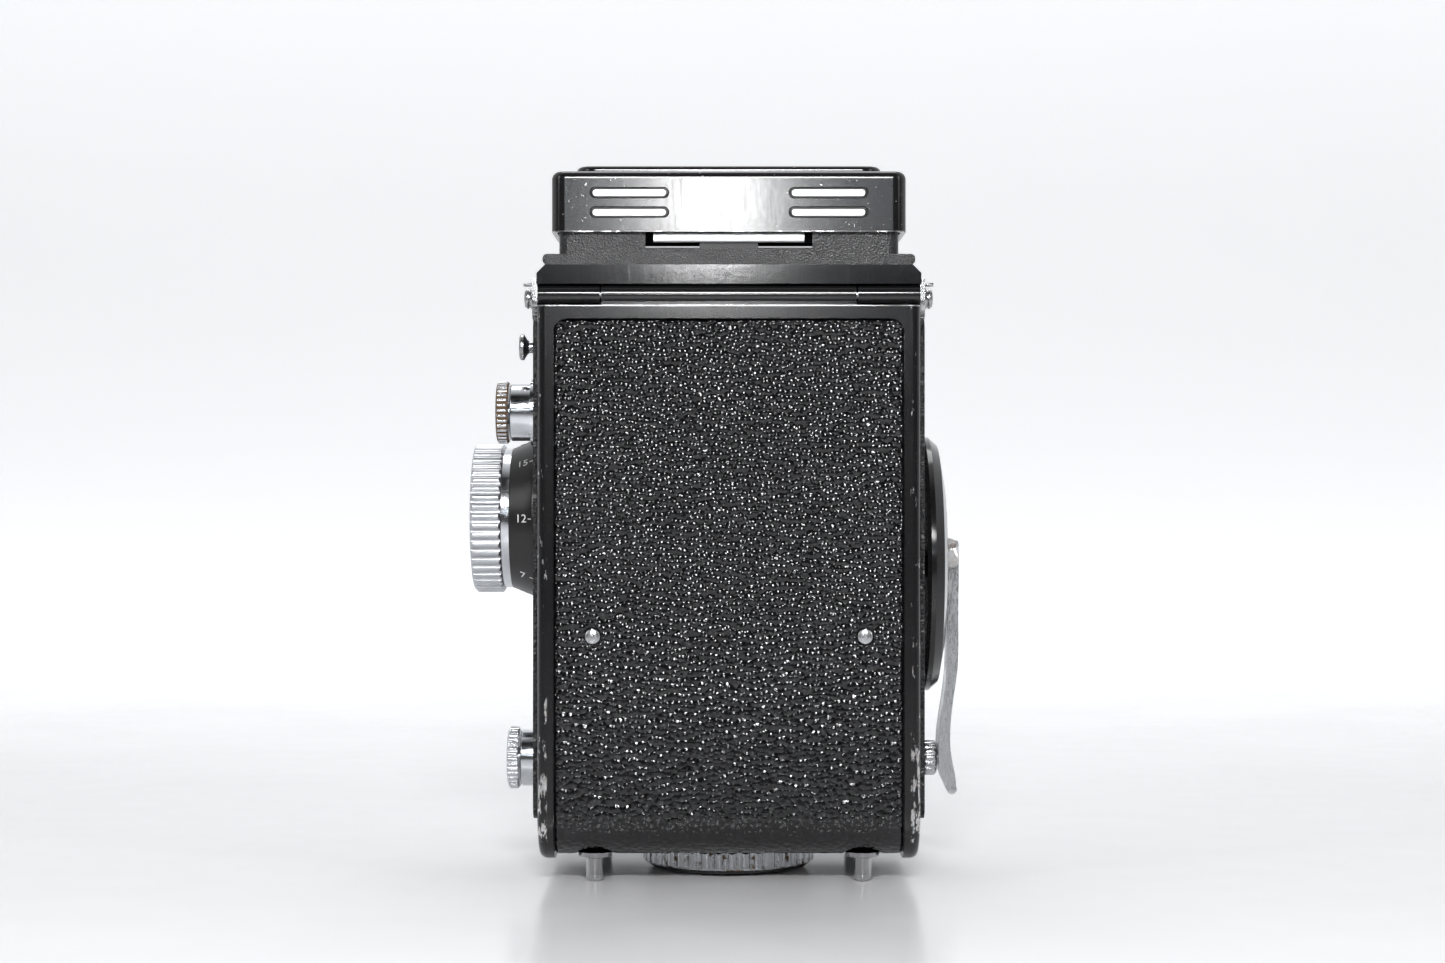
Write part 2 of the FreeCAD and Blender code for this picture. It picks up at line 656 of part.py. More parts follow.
def lock_dial():
    """Fluted ring that locks the door."""
    ring = fluted(DIAL_R, 0.55, DIAL_FLUTES, DIAL_TOP - DIAL_SILVER_BOTTOM)
    ring.translate(V(0, 0, DIAL_SILVER_BOTTOM))
    shape = turned_z([(DIAL_SILVER_BOTTOM, 0), (DIAL_SILVER_BOTTOM, 17.7), (1.4, 18.5), (4.0, 18.5),
                      (DIAL_TOP, 17.9), (DIAL_TOP, 0)])
    return ring.common(shape).cut(rod_z(0, 0, DIAL_BORE_R, -1, 9))


def lock_dial_face():
    """Dark face plate of the lock dial."""
    face = turned_z([(0.0, 0), (0.0, 16.6), (0.25, 17.0), (DIAL_SILVER_BOTTOM, 17.2),
                     (DIAL_SILVER_BOTTOM, 0)])
    return face.cut(rod_z(0, 0, DIAL_BORE_R, -1, 9))


# ================================================================ crank
def crank_disc():
    """Domed disc with its shaft and the clevis of the folding arm."""
    inner, outer = CRANK_DISC_X[1], CRANK_DISC_X[0]
    dome = turned_x([(inner, 0), (inner, CRANK_DISC_R - 0.8), (inner - 0.8, CRANK_DISC_R),
                     (inner - 1.8, CRANK_DISC_R), (inner - 3.6, CRANK_DISC_R - 1.6),
                     (outer + 0.5, 20.0), (outer + 0.1, 12.0), (outer, 6.0), (outer, 0)],
                    CRANK_Y, CRANK_Z)
    shaft = rod_x(CRANK_Y, CRANK_Z, CRANK_SHAFT_R, -35.0 - 6.2, -35.0)
    cheeks = []
    for side in (1, -1):
        near = CRANK_Y + side * (ARM_HALF_W + 0.2)
        far = CRANK_Y + side * (ARM_HALF_W + 2.0)
        cheek = box(-49.1, outer + 0.6, min(near, far), max(near, far), 63.5, ARM_PIVOT_Z + 1.5)
        cheek = rounded_edges(cheek, 1.2, lambda e: along(V(0, 1, 0))(e) and e.BoundBox.XMax < -49)
        cheeks.append(cheek)
    disc = join(dome, shaft, *cheeks)
    return disc.cut(rod_y(ARM_PIVOT_X, ARM_PIVOT_Z, ARM_PIN_R, -20, 20))


def crank_pin():
    """Hinge pin of the folding arm."""
    reach = ARM_HALF_W + 2.0
    return rod_y(ARM_PIVOT_X, ARM_PIVOT_Z, ARM_PIN_R - 0.005, CRANK_Y - reach, CRANK_Y + reach)


def crank_arm():
    """Folding arm: bowed out over the disc, swept in to the handle, tip turned out."""
    y0 = CRANK_Y - ARM_HALF_W

    def sweep(points):
        curve = Part.BSplineCurve()
        curve.interpolate([V(x, y0, z) for x, z in points])
        return curve.toShape()

    outer = sweep([(-49.3, 60), (-49.25, 46.8), (-48.95, 40.8), (-48.25, 36), (-47.65, 31),
                   (-47.45, 26.5), (-47.75, 22.8), (-48.45, 19.2), (-48.75, 16.4)])
    inner = sweep([(-47.2, 14.95), (-46.3, 17), (-45.35, 19.4), (-44.95, 22.8), (-45.0, 27),
                   (-45.55, 31.8), (-46.35, 37.2), (-46.85, 43.2), (-46.85, 50), (-46.6, 60)])
    tip = Part.Arc(V(-48.75, y0, 16.4), V(-48.25, y0, 14.9), V(-47.2, y0, 14.95)).toShape()
    head = [Part.makeLine(V(-46.6, y0, 60), V(-46.6, y0, 67.6)),
            Part.makeLine(V(-46.6, y0, 67.6), V(-49.3, y0, 67.6)),
            Part.makeLine(V(-49.3, y0, 67.6), V(-49.3, y0, 60))]
    profile = Part.Wire(Part.__sortEdges__([outer, tip, inner] + head))
    bar = Part.Face(profile).extrude(V(0, 2 * ARM_HALF_W, 0))
    bar = join(bar, rod_y(ARM_PIVOT_X, ARM_PIVOT_Z, ARM_EYE_R - 0.1, y0, y0 + 2 * ARM_HALF_W))
    bar = less(bar, rod_y(ARM_PIVOT_X, ARM_PIVOT_Z, ARM_PIN_R + 0.04, -20, 20))
    return join(bar, rod_x(CRANK_Y, HANDLE_Z, 1.4, -45.2, -41.9))


def crank_handle():
    """Fluted handle that turns on the arm's pin."""
    grip = stand_on_x(fluted(HANDLE_R, 0.3, 16, 2.9), -44.7, CRANK_Y, HANDLE_Z)
    trim = turned_x([(-44.7, 0), (-44.7, 3.2), (-44.2, 3.8), (-42.4, 3.8), (-41.8, 3.2), (-41.8, 0)],
                    CRANK_Y, HANDLE_Z)
    return grip.common(trim).cut(rod_x(CRANK_Y, HANDLE_Z, 1.46, -50, -30))


# ================================================================ focus drive
def focus_rim():
    """Fluted rim of the focus knob, with a domed end face."""
    ribs = stand_on_x(fluted(FOCUS_RIM_R, 0.55, FOCUS_FLUTES, FOCUS_RIM_X[1] - FOCUS_RIM_X[0]),
                      FOCUS_RIM_X[0], FOCUS_Y, FOCUS_Z)
    shape = turned_x([(FOCUS_RIM_X[0], 0), (FOCUS_RIM_X[0], 15.6), (FOCUS_RIM_X[0] + 0.6, 16.4),
                      (54.6, 16.4), (55.4, 15.5), (55.5, 12.5), (55.0, 11.5), (55.0, 0)],
                     FOCUS_Y, FOCUS_Z)
    return ribs.common(shape)


def focus_ring():
    """Chrome ring between the rim and the scale skirt."""
    return rod_x(FOCUS_Y, FOCUS_Z, FOCUS_RING_R, FOCUS_SKIRT_X[1], FOCUS_RIM_X[0])


def focus_skirt():
    """Conical distance scale."""
    return turned_x([(FOCUS_SKIRT_X[0], FOCUS_SHAFT_R + 0.01), (FOCUS_SKIRT_X[0], FOCUS_SKIRT_R[0]),
                     (42.2, FOCUS_SKIRT_R[0]), (FOCUS_SKIRT_X[1], FOCUS_SKIRT_R[1]),
                     (FOCUS_SKIRT_X[1], FOCUS_SHAFT_R + 0.01)], FOCUS_Y, FOCUS_Z)


def focus_shaft():
    """Shaft from the focus knob to its cam."""
    return rod_x(FOCUS_Y, FOCUS_Z, FOCUS_SHAFT_R, 28.8, FOCUS_SKIRT_X[1])


def focus_cam():
    """Spiral cam: its radius grows evenly with the turn of the knob."""
    steps = 60
    rise = FOCUS_TRAVEL / FOCUS_TURN
    points = []
    for i in range(steps + 1):
        turn = FOCUS_TURN * i / steps
        radius = CAM_R + rise * turn
        angle = math.pi - turn
        points.append(V(CAM_X[0], FOCUS_Y + radius * math.cos(angle),
                        FOCUS_Z + radius * math.sin(angle)))
    curve = Part.BSplineCurve()
    curve.interpolate(points)
    close = Part.LineSegment(points[-1], points[0])
    face = Part.Face(Part.Wire([curve.toShape(), close.toShape()]))
    cam = face.extrude(V(CAM_X[1] - CAM_X[0], 0, 0))
    hub = rod_x(FOCUS_Y, FOCUS_Z, 3.2, *CAM_X)
    return join(cam, hub).cut(rod_x(FOCUS_Y, FOCUS_Z, FOCUS_SHAFT_R, 20, 40))


def focus_strut():
    """Follower strut from the lens board to the cam."""
    tip = FOCUS_Y - CAM_R - 0.3
    profile = [V(CAM_X[0], BOARD_Y[1], FOCUS_Z - 2), V(CAM_X[0], tip - 3, FOCUS_Z - 2),
               V(CAM_X[0], tip, FOCUS_Z - 0.3), V(CAM_X[0], tip, FOCUS_Z + 0.3),
               V(CAM_X[0], tip - 3, FOCUS_Z + 2), V(CAM_X[0], BOARD_Y[1], FOCUS_Z + 2)]
    strut = prism(profile, V(CAM_X[1] - CAM_X[0], 0, 0))
    foot = box(26.6, CAM_X[1], BOARD_Y[1], BOARD_Y[1] + 1.6, FOCUS_Z - 5, FOCUS_Z + 5)
    return join(strut, foot)


# ================================================================ lens board
def lens_board():
    """Sliding front: face, side walls and the skirt that slides in the body."""
    front = box(-BOARD_HALF_W, BOARD_HALF_W, *BOARD_Y, *BOARD_Z)
    front = rounded_edges(front, 4.0, along(V(0, 1, 0)))
    skirt = box(-SKIRT_HALF_W, SKIRT_HALF_W, BOARD_Y[1] - 2, SKIRT_REAR, *SKIRT_Z)
    wall = 1.2
    hollow = box(-SKIRT_HALF_W + wall, SKIRT_HALF_W - wall, BOARD_Y[0] + BOARD_WALL, 0,
                 SKIRT_Z[0] + wall, SKIRT_Z[1] - wall)
    septum = box(-SKIRT_HALF_W, SKIRT_HALF_W, -45, SKIRT_REAR, 77.6, 78.8)
    collar = rod_y(BUTTON_X, BUTTON_Z, 4.6, -53.5, BOARD_Y[0] + 1)
    board = join(less(join(front, skirt), hollow), septum, collar)
    board = less(board, rod_y(0, TAKE_Z, 14.0, -60, -45), rod_y(0, VIEW_Z, 14.0, -60, -45),
                 rod_y(BUTTON_X, BUTTON_Z, 3.45, -60, BOARD_Y[0]),
                 rod_y(BUTTON_X, BUTTON_Z, 1.86, -60, -40))
    for x in (WHEEL_X, -WHEEL_X):
        board = board.cut(rod_y(x, (TAKE_Z + VIEW_Z) / 2, 2.06, -60, -46))
    return board


def barrel(z, bore):
    """Lens barrel with a bayonet rim, about the lens axis at height z."""
    y0 = BOARD_Y[0]
    profile = [(y0 + 3, bore), (y0 + 3, 13.98), (y0, 13.98), (y0, BARREL_R + 1.5), (y0 - 2, BARREL_R + 1.5),
               (y0 - 2.4, BARREL_R), (-65.5, BARREL_R), (-65.7, BAYONET_R), (-69.4, BAYONET_R),
               (LENS_FRONT, BAYONET_R - 0.8), (LENS_FRONT, BAYONET_R - 2.6), (-67.5, bore + 0.9),
               (-65.0, bore)]
    ring = turned_y(profile, 0, z)
    for side in (1, -1):
        notch = box(min(side * 14, side * 20), max(side * 14, side * 20), -71, -68.6, z - 1.6, z + 1.6)
        ring = ring.cut(notch)
    return ring


def lens_glass(z, radius, y_front, thickness, bulge):
    """Glass element with two rounded faces."""
    def cap(y, height):
        return Part.Arc(V(0, y, z + radius), V(0, y + height, z), V(0, y, z - radius))
    front = cap(y_front, -bulge)
    rear = cap(y_front + thickness, -bulge * 0.4)
    sides = [Part.LineSegment(front.StartPoint, rear.StartPoint),
             Part.LineSegment(front.EndPoint, rear.EndPoint)]
    wire = Part.Wire(Part.__sortEdges__([c.toShape() for c in [front, rear] + sides]))
    half = Part.Face(wire).common(Part.Face(Part.makePolygon(
        [V(0, -90, z), V(0, 0, z), V(0, 0, z + 40), V(0, -90, z + 40), V(0, -90, z)])))
    return half.revolve(V(0, 0, z), V(0, 1, 0), 360)


def shutter_housing():
    """Shutter case behind the board, round the taking lens."""
    return turned_y([(-46.9, 12.4), (-46.9, 19.0), (-38.0, 19.0), (-37.5, 18.4), (-37.5, 12.4)],
                    0, TAKE_Z)


def shutter_blades():
    """Five thin blades that close the shutter, side by side round the axis."""
    blades = []
    for i in range(5):
        start = math.radians(72 * i + 1)
        end = math.radians(72 * i + 71)
        mid = (start + end) / 2
        rim = Part.Arc(V(12.3 * math.cos(start), -42, 12.3 * math.sin(start)),
                       V(12.3 * math.cos(mid), -42, 12.3 * math.sin(mid)),
                       V(12.3 * math.cos(end), -42, 12.3 * math.sin(end)))
        tip = V(0.3 * math.cos(mid), -42, 0.3 * math.sin(mid))
        wire = Part.Wire([Part.LineSegment(tip, rim.StartPoint).toShape(), rim.toShape(),
                          Part.LineSegment(rim.EndPoint, tip).toShape()])
        blade = Part.Face(wire).extrude(V(0, 0.4, 0))
        blade.translate(V(0, 0, TAKE_Z))
        blades.append(blade)
    return Part.makeCompound(blades)


def rear_lens_group():
    """Rear cell of the taking lens, in the shutter."""
    return turned_y([(-40.5, 0), (-40.5, 12.3), (-34.0, 12.3), (-32.0, 10.4), (-31.0, 9.0),
                     (-31.6, 5.0), (-31.9, 0)], 0, TAKE_Z)


def setting_wheel(x):
    """Knurled setting wheel between the lenses, with its stem."""
    z = (TAKE_Z + VIEW_Z) / 2
    disc = fluted(WHEEL_R, 0.3, 40, 3.2)
    disc.rotate(V(0, 0, 0), V(1, 0, 0), -90)
    disc.translate(V(x, -53.6, z))
    trim = turned_y([(-53.6, 0), (-53.6, 7.0), (-53.0, 8.4), (-50.4, 8.4), (-50.4, 0)], x, z)
    return join(disc.common(trim), rod_y(x, z, 2.0, -51, -46.5))


def release_button():
    """Shutter release: head and stem."""
    head = turned_y([(-57.0, 0), (-57.0, 2.6), (-56.4, 3.2), (-53.8, 3.2), (-53.8, 0)],
                    BUTTON_X, BUTTON_Z)
    head = join(head, rod_y(BUTTON_X, BUTTON_Z, 1.8, -54, -44))
    return head.cut(rod_y(BUTTON_X, BUTTON_Z, 1.1, -58, -55))


def flash_socket():
    """Round socket with a centre pin, opposite the release button."""
    sleeve = rod_y(-BUTTON_X, BUTTON_Z, 3.4, -53.2, BOARD_Y[0])
    sleeve = sleeve.cut(rod_y(-BUTTON_X, BUTTON_Z, 2.6, -54, BOARD_Y[0] - 0.6))
    return join(sleeve, rod_y(-BUTTON_X, BUTTON_Z, 0.7, -52.6, BOARD_Y[0] - 0.3))


# ================================================================ viewing hood
def hood_frame():
    """Flange, low wall with the catch notch, and the hinge lugs of lid and flaps."""
    flange = box(-FLANGE_HALF_W, FLANGE_HALF_W, BODY_FRONT, 29.3, BODY_TOP, FLANGE_TOP)
    flange = rounded_edges(flange, 1.0, lambda e: along(V(0, 1, 0))(e))
    wall = box(-FRAME_HALF_W, FRAME_HALF_W, FRAME_Y[0], FRAME_Y[1], FLANGE_TOP - 0.5, FRAME_TOP)
    wall = rounded_edges(wall, 2.0, along(V(0, 0, 1)))
    hollow = box(-FRAME_HALF_W + 1.4, FRAME_HALF_W - 1.4, FRAME_Y[0] + 1.4, FRAME_Y[1] - 1.4,
                 FLANGE_TOP, 140)
    seat = box(-SCREEN_HALF_W - 0.1, SCREEN_HALF_W + 0.1, SCREEN_Y[0] - 0.1, SCREEN_Y[1] + 0.1,
               120, 140)
    notch = box(-17.1, 17.1, 20, 40, 129.7, 140)
    frame = less(join(flange, wall), hollow, seat, notch)
    lugs = []
    for side in (1, -1):
        lug = box(side * 31.0 - 1.0, side * 31.0 + 1.0, LID_HINGE_Y - 0.9, LID_HINGE_Y + 1.4,
                  FRAME_TOP - 1, LID_HINGE_Z + 0.9)
        lugs.append(lug.cut(rod_x(LID_HINGE_Y, LID_HINGE_Z, 0.55, -50, 50)))
        for y in (-27.9, 21.9):
            lug = box(side * SIDE_FLAP_X - 0.8, side * SIDE_FLAP_X + 0.8, y - 0.7, y + 0.7,
                      FRAME_TOP - 3, SIDE_FLAP_Z + 0.8)
            lug = join(lug, box(min(side * 32.2, side * 33.6), max(side * 32.2, side * 33.6),
                                y - 0.7, y + 0.7, FLANGE_TOP - 0.5, FRAME_TOP))
            lugs.append(lug.cut(rod_y(side * SIDE_FLAP_X, SIDE_FLAP_Z, 0.4, -40, 40)))
        lug = box(side * 30.8 - 0.6, side * 30.8 + 0.6, REAR_FLAP_Y - 0.8, REAR_FLAP_Y + 0.8,
                  FLANGE_TOP - 0.5, REAR_FLAP_Z + 0.8)
        lugs.append(lug.cut(rod_x(REAR_FLAP_Y, REAR_FLAP_Z, 0.4, -50, 50)))
    return join(frame, *lugs)


def hood_latch():
    """Sprung catch bar in the notch at the back of the hood frame."""
    bar = box(-15.45, 15.45, 25.2, 26.6, 130.8, 132.8)
    bar = rounded_edges(bar, 0.5, along(V(1, 0, 0)))
    return join(bar, box(-6, 6, 23.6, 25.4, 129.4, 132.2))


def hood_lid():
    """Deep lid with a raised panel, trim slots, hinge rod and magnifier lugs."""
    outer = box(-LID_HALF_W, LID_HALF_W, *LID_Y, LID_BOTTOM, LID_TOP)
    outer = rounded_edges(outer, 2.8, along(V(0, 0, 1)))
    outer = rounded_edges(outer, 1.6, lambda e: e.BoundBox.ZMin > LID_TOP - 0.1)
    panel = box(-31.8, 31.8, -28.0, 18.0, LID_TOP - 2, LID_PANEL_TOP)
    panel = rounded_edges(panel, 4.0, along(V(0, 0, 1)))
    panel = rounded_edges(panel, 1.0, lambda e: e.BoundBox.ZMin > LID_PANEL_TOP - 0.1)
    inner = box(-LID_HALF_W + LID_WALL, LID_HALF_W - LID_WALL, LID_Y[0] + LID_WALL,
                LID_Y[1] - LID_WALL, 100, LID_TOP - LID_WALL)
    inner = rounded_edges(inner, 1.8, along(V(0, 0, 1)))
    panel_inner = box(-30.7, 30.7, -26.9, 16.9, LID_TOP - 4, LID_PANEL_TOP - LID_WALL)
    front_trim = box(-LID_HALF_W + 1.1, LID_HALF_W - 1.1, -40, LID_HINGE_Y, 100, LID_HINGE_Z - 0.4)
    lid = less(join(outer, panel), inner, panel_inner, front_trim)
    for slot in trim_outlines(0.22):
        lid = lid.cut(slot)
    for x in (31.0, -31.0):
        lid = lid.cut(box(x - 1.3, x + 1.3, -40, LID_HINGE_Y, 100, LID_HINGE_Z + 1.3))
    bar = rod_x(LID_HINGE_Y, LID_HINGE_Z, 1.0, -29.8, 29.8)
    web = box(-29.8, 29.8, LID_Y[0] + 0.3, LID_HINGE_Y, LID_HINGE_Z - 0.3, LID_HINGE_Z + 0.7)
    pins = rod_x(LID_HINGE_Y, LID_HINGE_Z, 0.5, -32.0, 32.0)
    lid = join(lid, bar, web, pins)
    for side in (1, -1):
        lug = box(side * 11.8 - 0.5, side * 11.8 + 0.5, LOUPE_PIVOT_Y - 1, LOUPE_PIVOT_Y + 1,
                  LOUPE_PIVOT_Z - 0.9, LID_PANEL_TOP - 0.6)
        lid = lid.fuse(lug.cut(rod_x(LOUPE_PIVOT_Y, LOUPE_PIVOT_Z, 0.45, -50, 50)))
    return lid


def trim_outlines(grow):
    """Four long rounded slots in the back of the lid, grown by a clearance."""
    slots = []
    for side in (1, -1):
        for z in (140.75, 136.8):
            r = 0.95 + grow
            x0 = side * 20.35 - 7.0
            slot = box(x0, x0 + 14, 26.8, 30, z - r, z + r)
            slot = join(slot, rod_y(x0, z, r, 26.8, 30), rod_y(x0 + 14, z, r, 26.8, 30))
            slots.append(slot)
    return slots


def hood_trim():
    """Bright trim strips on their backing plates, one plate on each side."""
    plates = []
    bars = [bar.common(box(-50, 50, 26.5, LID_Y[1] - 0.08, 100, 160)) for bar in trim_outlines(0.0)]
    for side in (1, -1):
        plate = box(side * 20.35 - 9, side * 20.35 + 9, 26.4, LID_Y[1] - LID_WALL, 135.2, 142.3)
        own = [bar for bar in bars if bar.BoundBox.Center.x * side > 0]
        plates.append(join(plate, *own))
    return Part.makeCompound(plates)


def hood_side_flap():
    """Folding side flap of the hood, +X side, with its hinge rod."""
    z = SIDE_FLAP_Z - FLAP_T / 2
    x = SIDE_FLAP_X
    front, rear = -26.9, 20.9
    plate = prism([V(x, front, z), V(x - 3.0, front, z), V(x - FLAP_L, front + FLAP_L - 3.0, z),
                   V(x - FLAP_L, rear - FLAP_L + 3.2, z), V(x - 3.2, rear, z), V(x, rear, z)],
                  V(0, 0, FLAP_T))
    rod = rod_y(x, SIDE_FLAP_Z, 0.7, front, rear)
    pins = rod_y(x, SIDE_FLAP_Z, 0.34, -28.4, 22.4)
    return join(plate, rod, pins)


def hood_rear_flap():
    """Folding rear flap of the hood."""
    z = REAR_FLAP_Z - FLAP_T / 2
    y = REAR_FLAP_Y
    plate = prism([V(-29.8, y, z), V(29.8, y, z), V(29.8, y - 10, z), V(24, y - FLAP_L, z),
                   V(-24, y - FLAP_L, z), V(-29.8, y - 10, z)], V(0, 0, FLAP_T))
    rod = rod_x(y, REAR_FLAP_Z, 0.7, -29.9, 29.9)
    return join(plate, rod, rod_x(y, REAR_FLAP_Z, 0.34, -31.2, 31.2))


def magnifier_arm():
    """Frame of the folding magnifier, with its hinge rod."""
    y = LOUPE_PIVOT_Y
    z = LOUPE_PIVOT_Z
    centre = y - LOUPE_L + LOUPE_HALF_W
    ring = rod_z(0, centre, LOUPE_HALF_W, z - 1.0, z + 1.0)
    neck = box(-6, 6, centre, y, z - 0.6, z + 0.6)
    rod = rod_x(y, z, 0.8, -11.0, 11.0)
    arm = join(ring, neck, rod, rod_x(y, z, 0.4, -12.2, 12.2))
    return arm.cut(rod_z(0, centre, 11.2, 100, 200))


def magnifier_lens():
    """Magnifier glass."""
    centre = LOUPE_PIVOT_Y - LOUPE_L + LOUPE_HALF_W
    z = LOUPE_PIVOT_Z
    glass = turned_z([(z - 1.3, 0), (z - 1.1, 6), (z - 0.5, 11.15), (z + 0.5, 11.15), (z + 1.1, 6),
                      (z + 1.3, 0)])
    glass.translate(V(0, centre, 0))
    return glass


# ================================================================ all nodes
def nodes():
    """Every sub-part by name."""
    knob_holes = [(SPOOL_Y, SPOOL_Z, 7.3), (SUPPLY_Y, SUPPLY_Z, 7.3), (FOCUS_Y, FOCUS_Z, 2.2),
                  (SPOOL_Y, 110.0, 1.8)]
    flap = hood_side_flap()
    lug = strap_lug()
    return {
        "body_casting": body_casting(),
        "focus_side_leather": side_leather(knob_holes),
        "crank_side_leather": mirrored(side_leather([(CRANK_Y, CRANK_Z, CRANK_SHAFT_R + 0.6)])),
        "front_leather": front_leather(),
        "door_hinge_pin": hinge_pin(),
        "light_baffle": light_baffle(),
        "film_gate": film_gate(),
        "lower_film_roller": film_roller(ROLLER_Z[0]),
        "upper_film_roller": film_roller(ROLLER_Z[1]),
        "reflex_mirror": slanted_slab(-MIRROR_HALF_W, MIRROR_HALF_W),
        "focusing_screen": focusing_screen(),
        "strap_lugs": Part.makeCompound([lug, mirrored(lug)]),
        "side_stud": side_stud(),
        "spool_knob_bushes": Part.makeCompound([knob_bush(SPOOL_Y, SPOOL_Z, 45.7),
                                                knob_bush(SUPPLY_Y, SUPPLY_Z, 44.2)]),
        "upper_spool_knob": spool_knob(SPOOL_Y, SPOOL_Z, KNOB_RIM_X),
        "lower_spool_knob": spool_knob(SUPPLY_Y, SUPPLY_Z, LOWER_RIM_X),
        "take_up_spool": take_up_spool(),
        "spool_gear": spool_gear(),
        "idler_gear": idler_gear(),
        "crank_gear": crank_gear(),
        "crank_disc": crank_disc(),
        "crank_pin": crank_pin(),
        "crank_arm": crank_arm(),
        "crank_handle": crank_handle(),
        "back_door": back_door(),
        "back_leather": back_leather(),
        "door_screws": door_screws(),
        "pressure_spring": pressure_spring(),
        "pressure_plate": pressure_plate(),
        "feet": feet(),
        "tripod_bush": tripod_bush(),
        "lock_dial": lock_dial(),
        "lock_dial_face": lock_dial_face(),
        "focus_rim": focus_rim(),
        "focus_ring": focus_ring(),
        "focus_skirt": focus_skirt(),
        "focus_shaft": focus_shaft(),
        "focus_cam": focus_cam(),
        "focus_strut": focus_strut(),
        "lens_board": lens_board(),
        "viewing_barrel": barrel(VIEW_Z, 13.0),
        "taking_barrel": barrel(TAKE_Z, 11.0),
        "viewing_glass": lens_glass(VIEW_Z, 12.95, -64.0, 5.0, 2.2),
        "taking_glass": lens_glass(TAKE_Z, 10.95, -63.0, 5.0, 1.8),
        "shutter_housing": shutter_housing(),
        "shutter_blades": shutter_blades(),
        "rear_lens_group": rear_lens_group(),
        "aperture_wheel": setting_wheel(WHEEL_X),
        "speed_wheel": setting_wheel(-WHEEL_X),
        "release_button": release_button(),
        "flash_socket": flash_socket(),
        "hood_frame": hood_frame(),
        "hood_latch": hood_latch(),
        "hood_lid": hood_lid(),
        "hood_trim": hood_trim(),
        "hood_side_flap_focus": flap,
        "hood_side_flap_crank": mirrored(flap),
        "hood_rear_flap": hood_rear_flap(),
        "magnifier_arm": magnifier_arm(),
        "magnifier_lens": magnifier_lens(),
    }


os.makedirs("parts", exist_ok=True)
for name, shape in nodes().items():
    shape.exportStep("parts/" + name + ".step")
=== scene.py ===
"""Twin lens reflex camera: finishes, grained leather, scale figures and a studio.

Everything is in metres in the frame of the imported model. +Y faces the viewer of
the film door, +X is the focus knob side, Z is up.
"""
import math

import bpy
import numpy as np
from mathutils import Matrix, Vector


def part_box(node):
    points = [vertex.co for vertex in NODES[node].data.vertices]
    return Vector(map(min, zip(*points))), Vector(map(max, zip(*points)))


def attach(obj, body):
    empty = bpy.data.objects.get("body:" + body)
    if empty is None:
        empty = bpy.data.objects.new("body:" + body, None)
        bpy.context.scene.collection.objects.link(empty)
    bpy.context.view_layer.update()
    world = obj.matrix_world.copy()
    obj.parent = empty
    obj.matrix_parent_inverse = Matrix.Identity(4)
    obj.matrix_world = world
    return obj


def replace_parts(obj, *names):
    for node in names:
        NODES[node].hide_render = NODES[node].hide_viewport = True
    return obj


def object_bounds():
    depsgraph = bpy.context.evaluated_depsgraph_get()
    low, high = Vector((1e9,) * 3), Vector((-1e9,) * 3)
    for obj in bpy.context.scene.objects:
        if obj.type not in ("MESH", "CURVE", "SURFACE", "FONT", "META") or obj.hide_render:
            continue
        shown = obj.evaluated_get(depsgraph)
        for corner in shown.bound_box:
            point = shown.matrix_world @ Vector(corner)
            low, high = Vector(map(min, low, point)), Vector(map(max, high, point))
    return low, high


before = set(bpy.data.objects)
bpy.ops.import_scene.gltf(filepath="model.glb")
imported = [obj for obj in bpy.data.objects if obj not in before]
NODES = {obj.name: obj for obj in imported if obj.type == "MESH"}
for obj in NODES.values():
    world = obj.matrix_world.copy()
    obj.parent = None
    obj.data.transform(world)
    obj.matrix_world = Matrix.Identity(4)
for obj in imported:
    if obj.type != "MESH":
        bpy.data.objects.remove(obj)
BOX_OF_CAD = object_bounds()
MM = 0.001

# Sizes in millimetres that the boxes of the nodes don't give.
DOOR_BEND = 9.1
LEATHER_CORNER = 2.8
FOOT_FLANGE = 3.5
SCREW_HEAD = 1.5
HOLE_GAP = 0.2
DIAL_GAP = 0.8
GRAIN_STEP = 0.33
PEBBLE = 1.2
TRIM_BAR_TALL = 1.28
TRIM_BAR_LONG = 14.9
TRIM_PLATE_TALL = 3.1
TRIM_BAR_INSET = 9.0
SKIRT_CONE = (42.2, 47.1)
SKIRT_TAPER = 2.0
FIGURE_SIZE = 2.5
FIGURE_PLACE = 44.35
LINE_PLACE = 42.5

# The camera, in metres and millimetres.
CAMERA_PLACE = (0.0013, 0.5805, 0.0818)
LENS_MM = 67.4
SENSOR_MM = 36.0


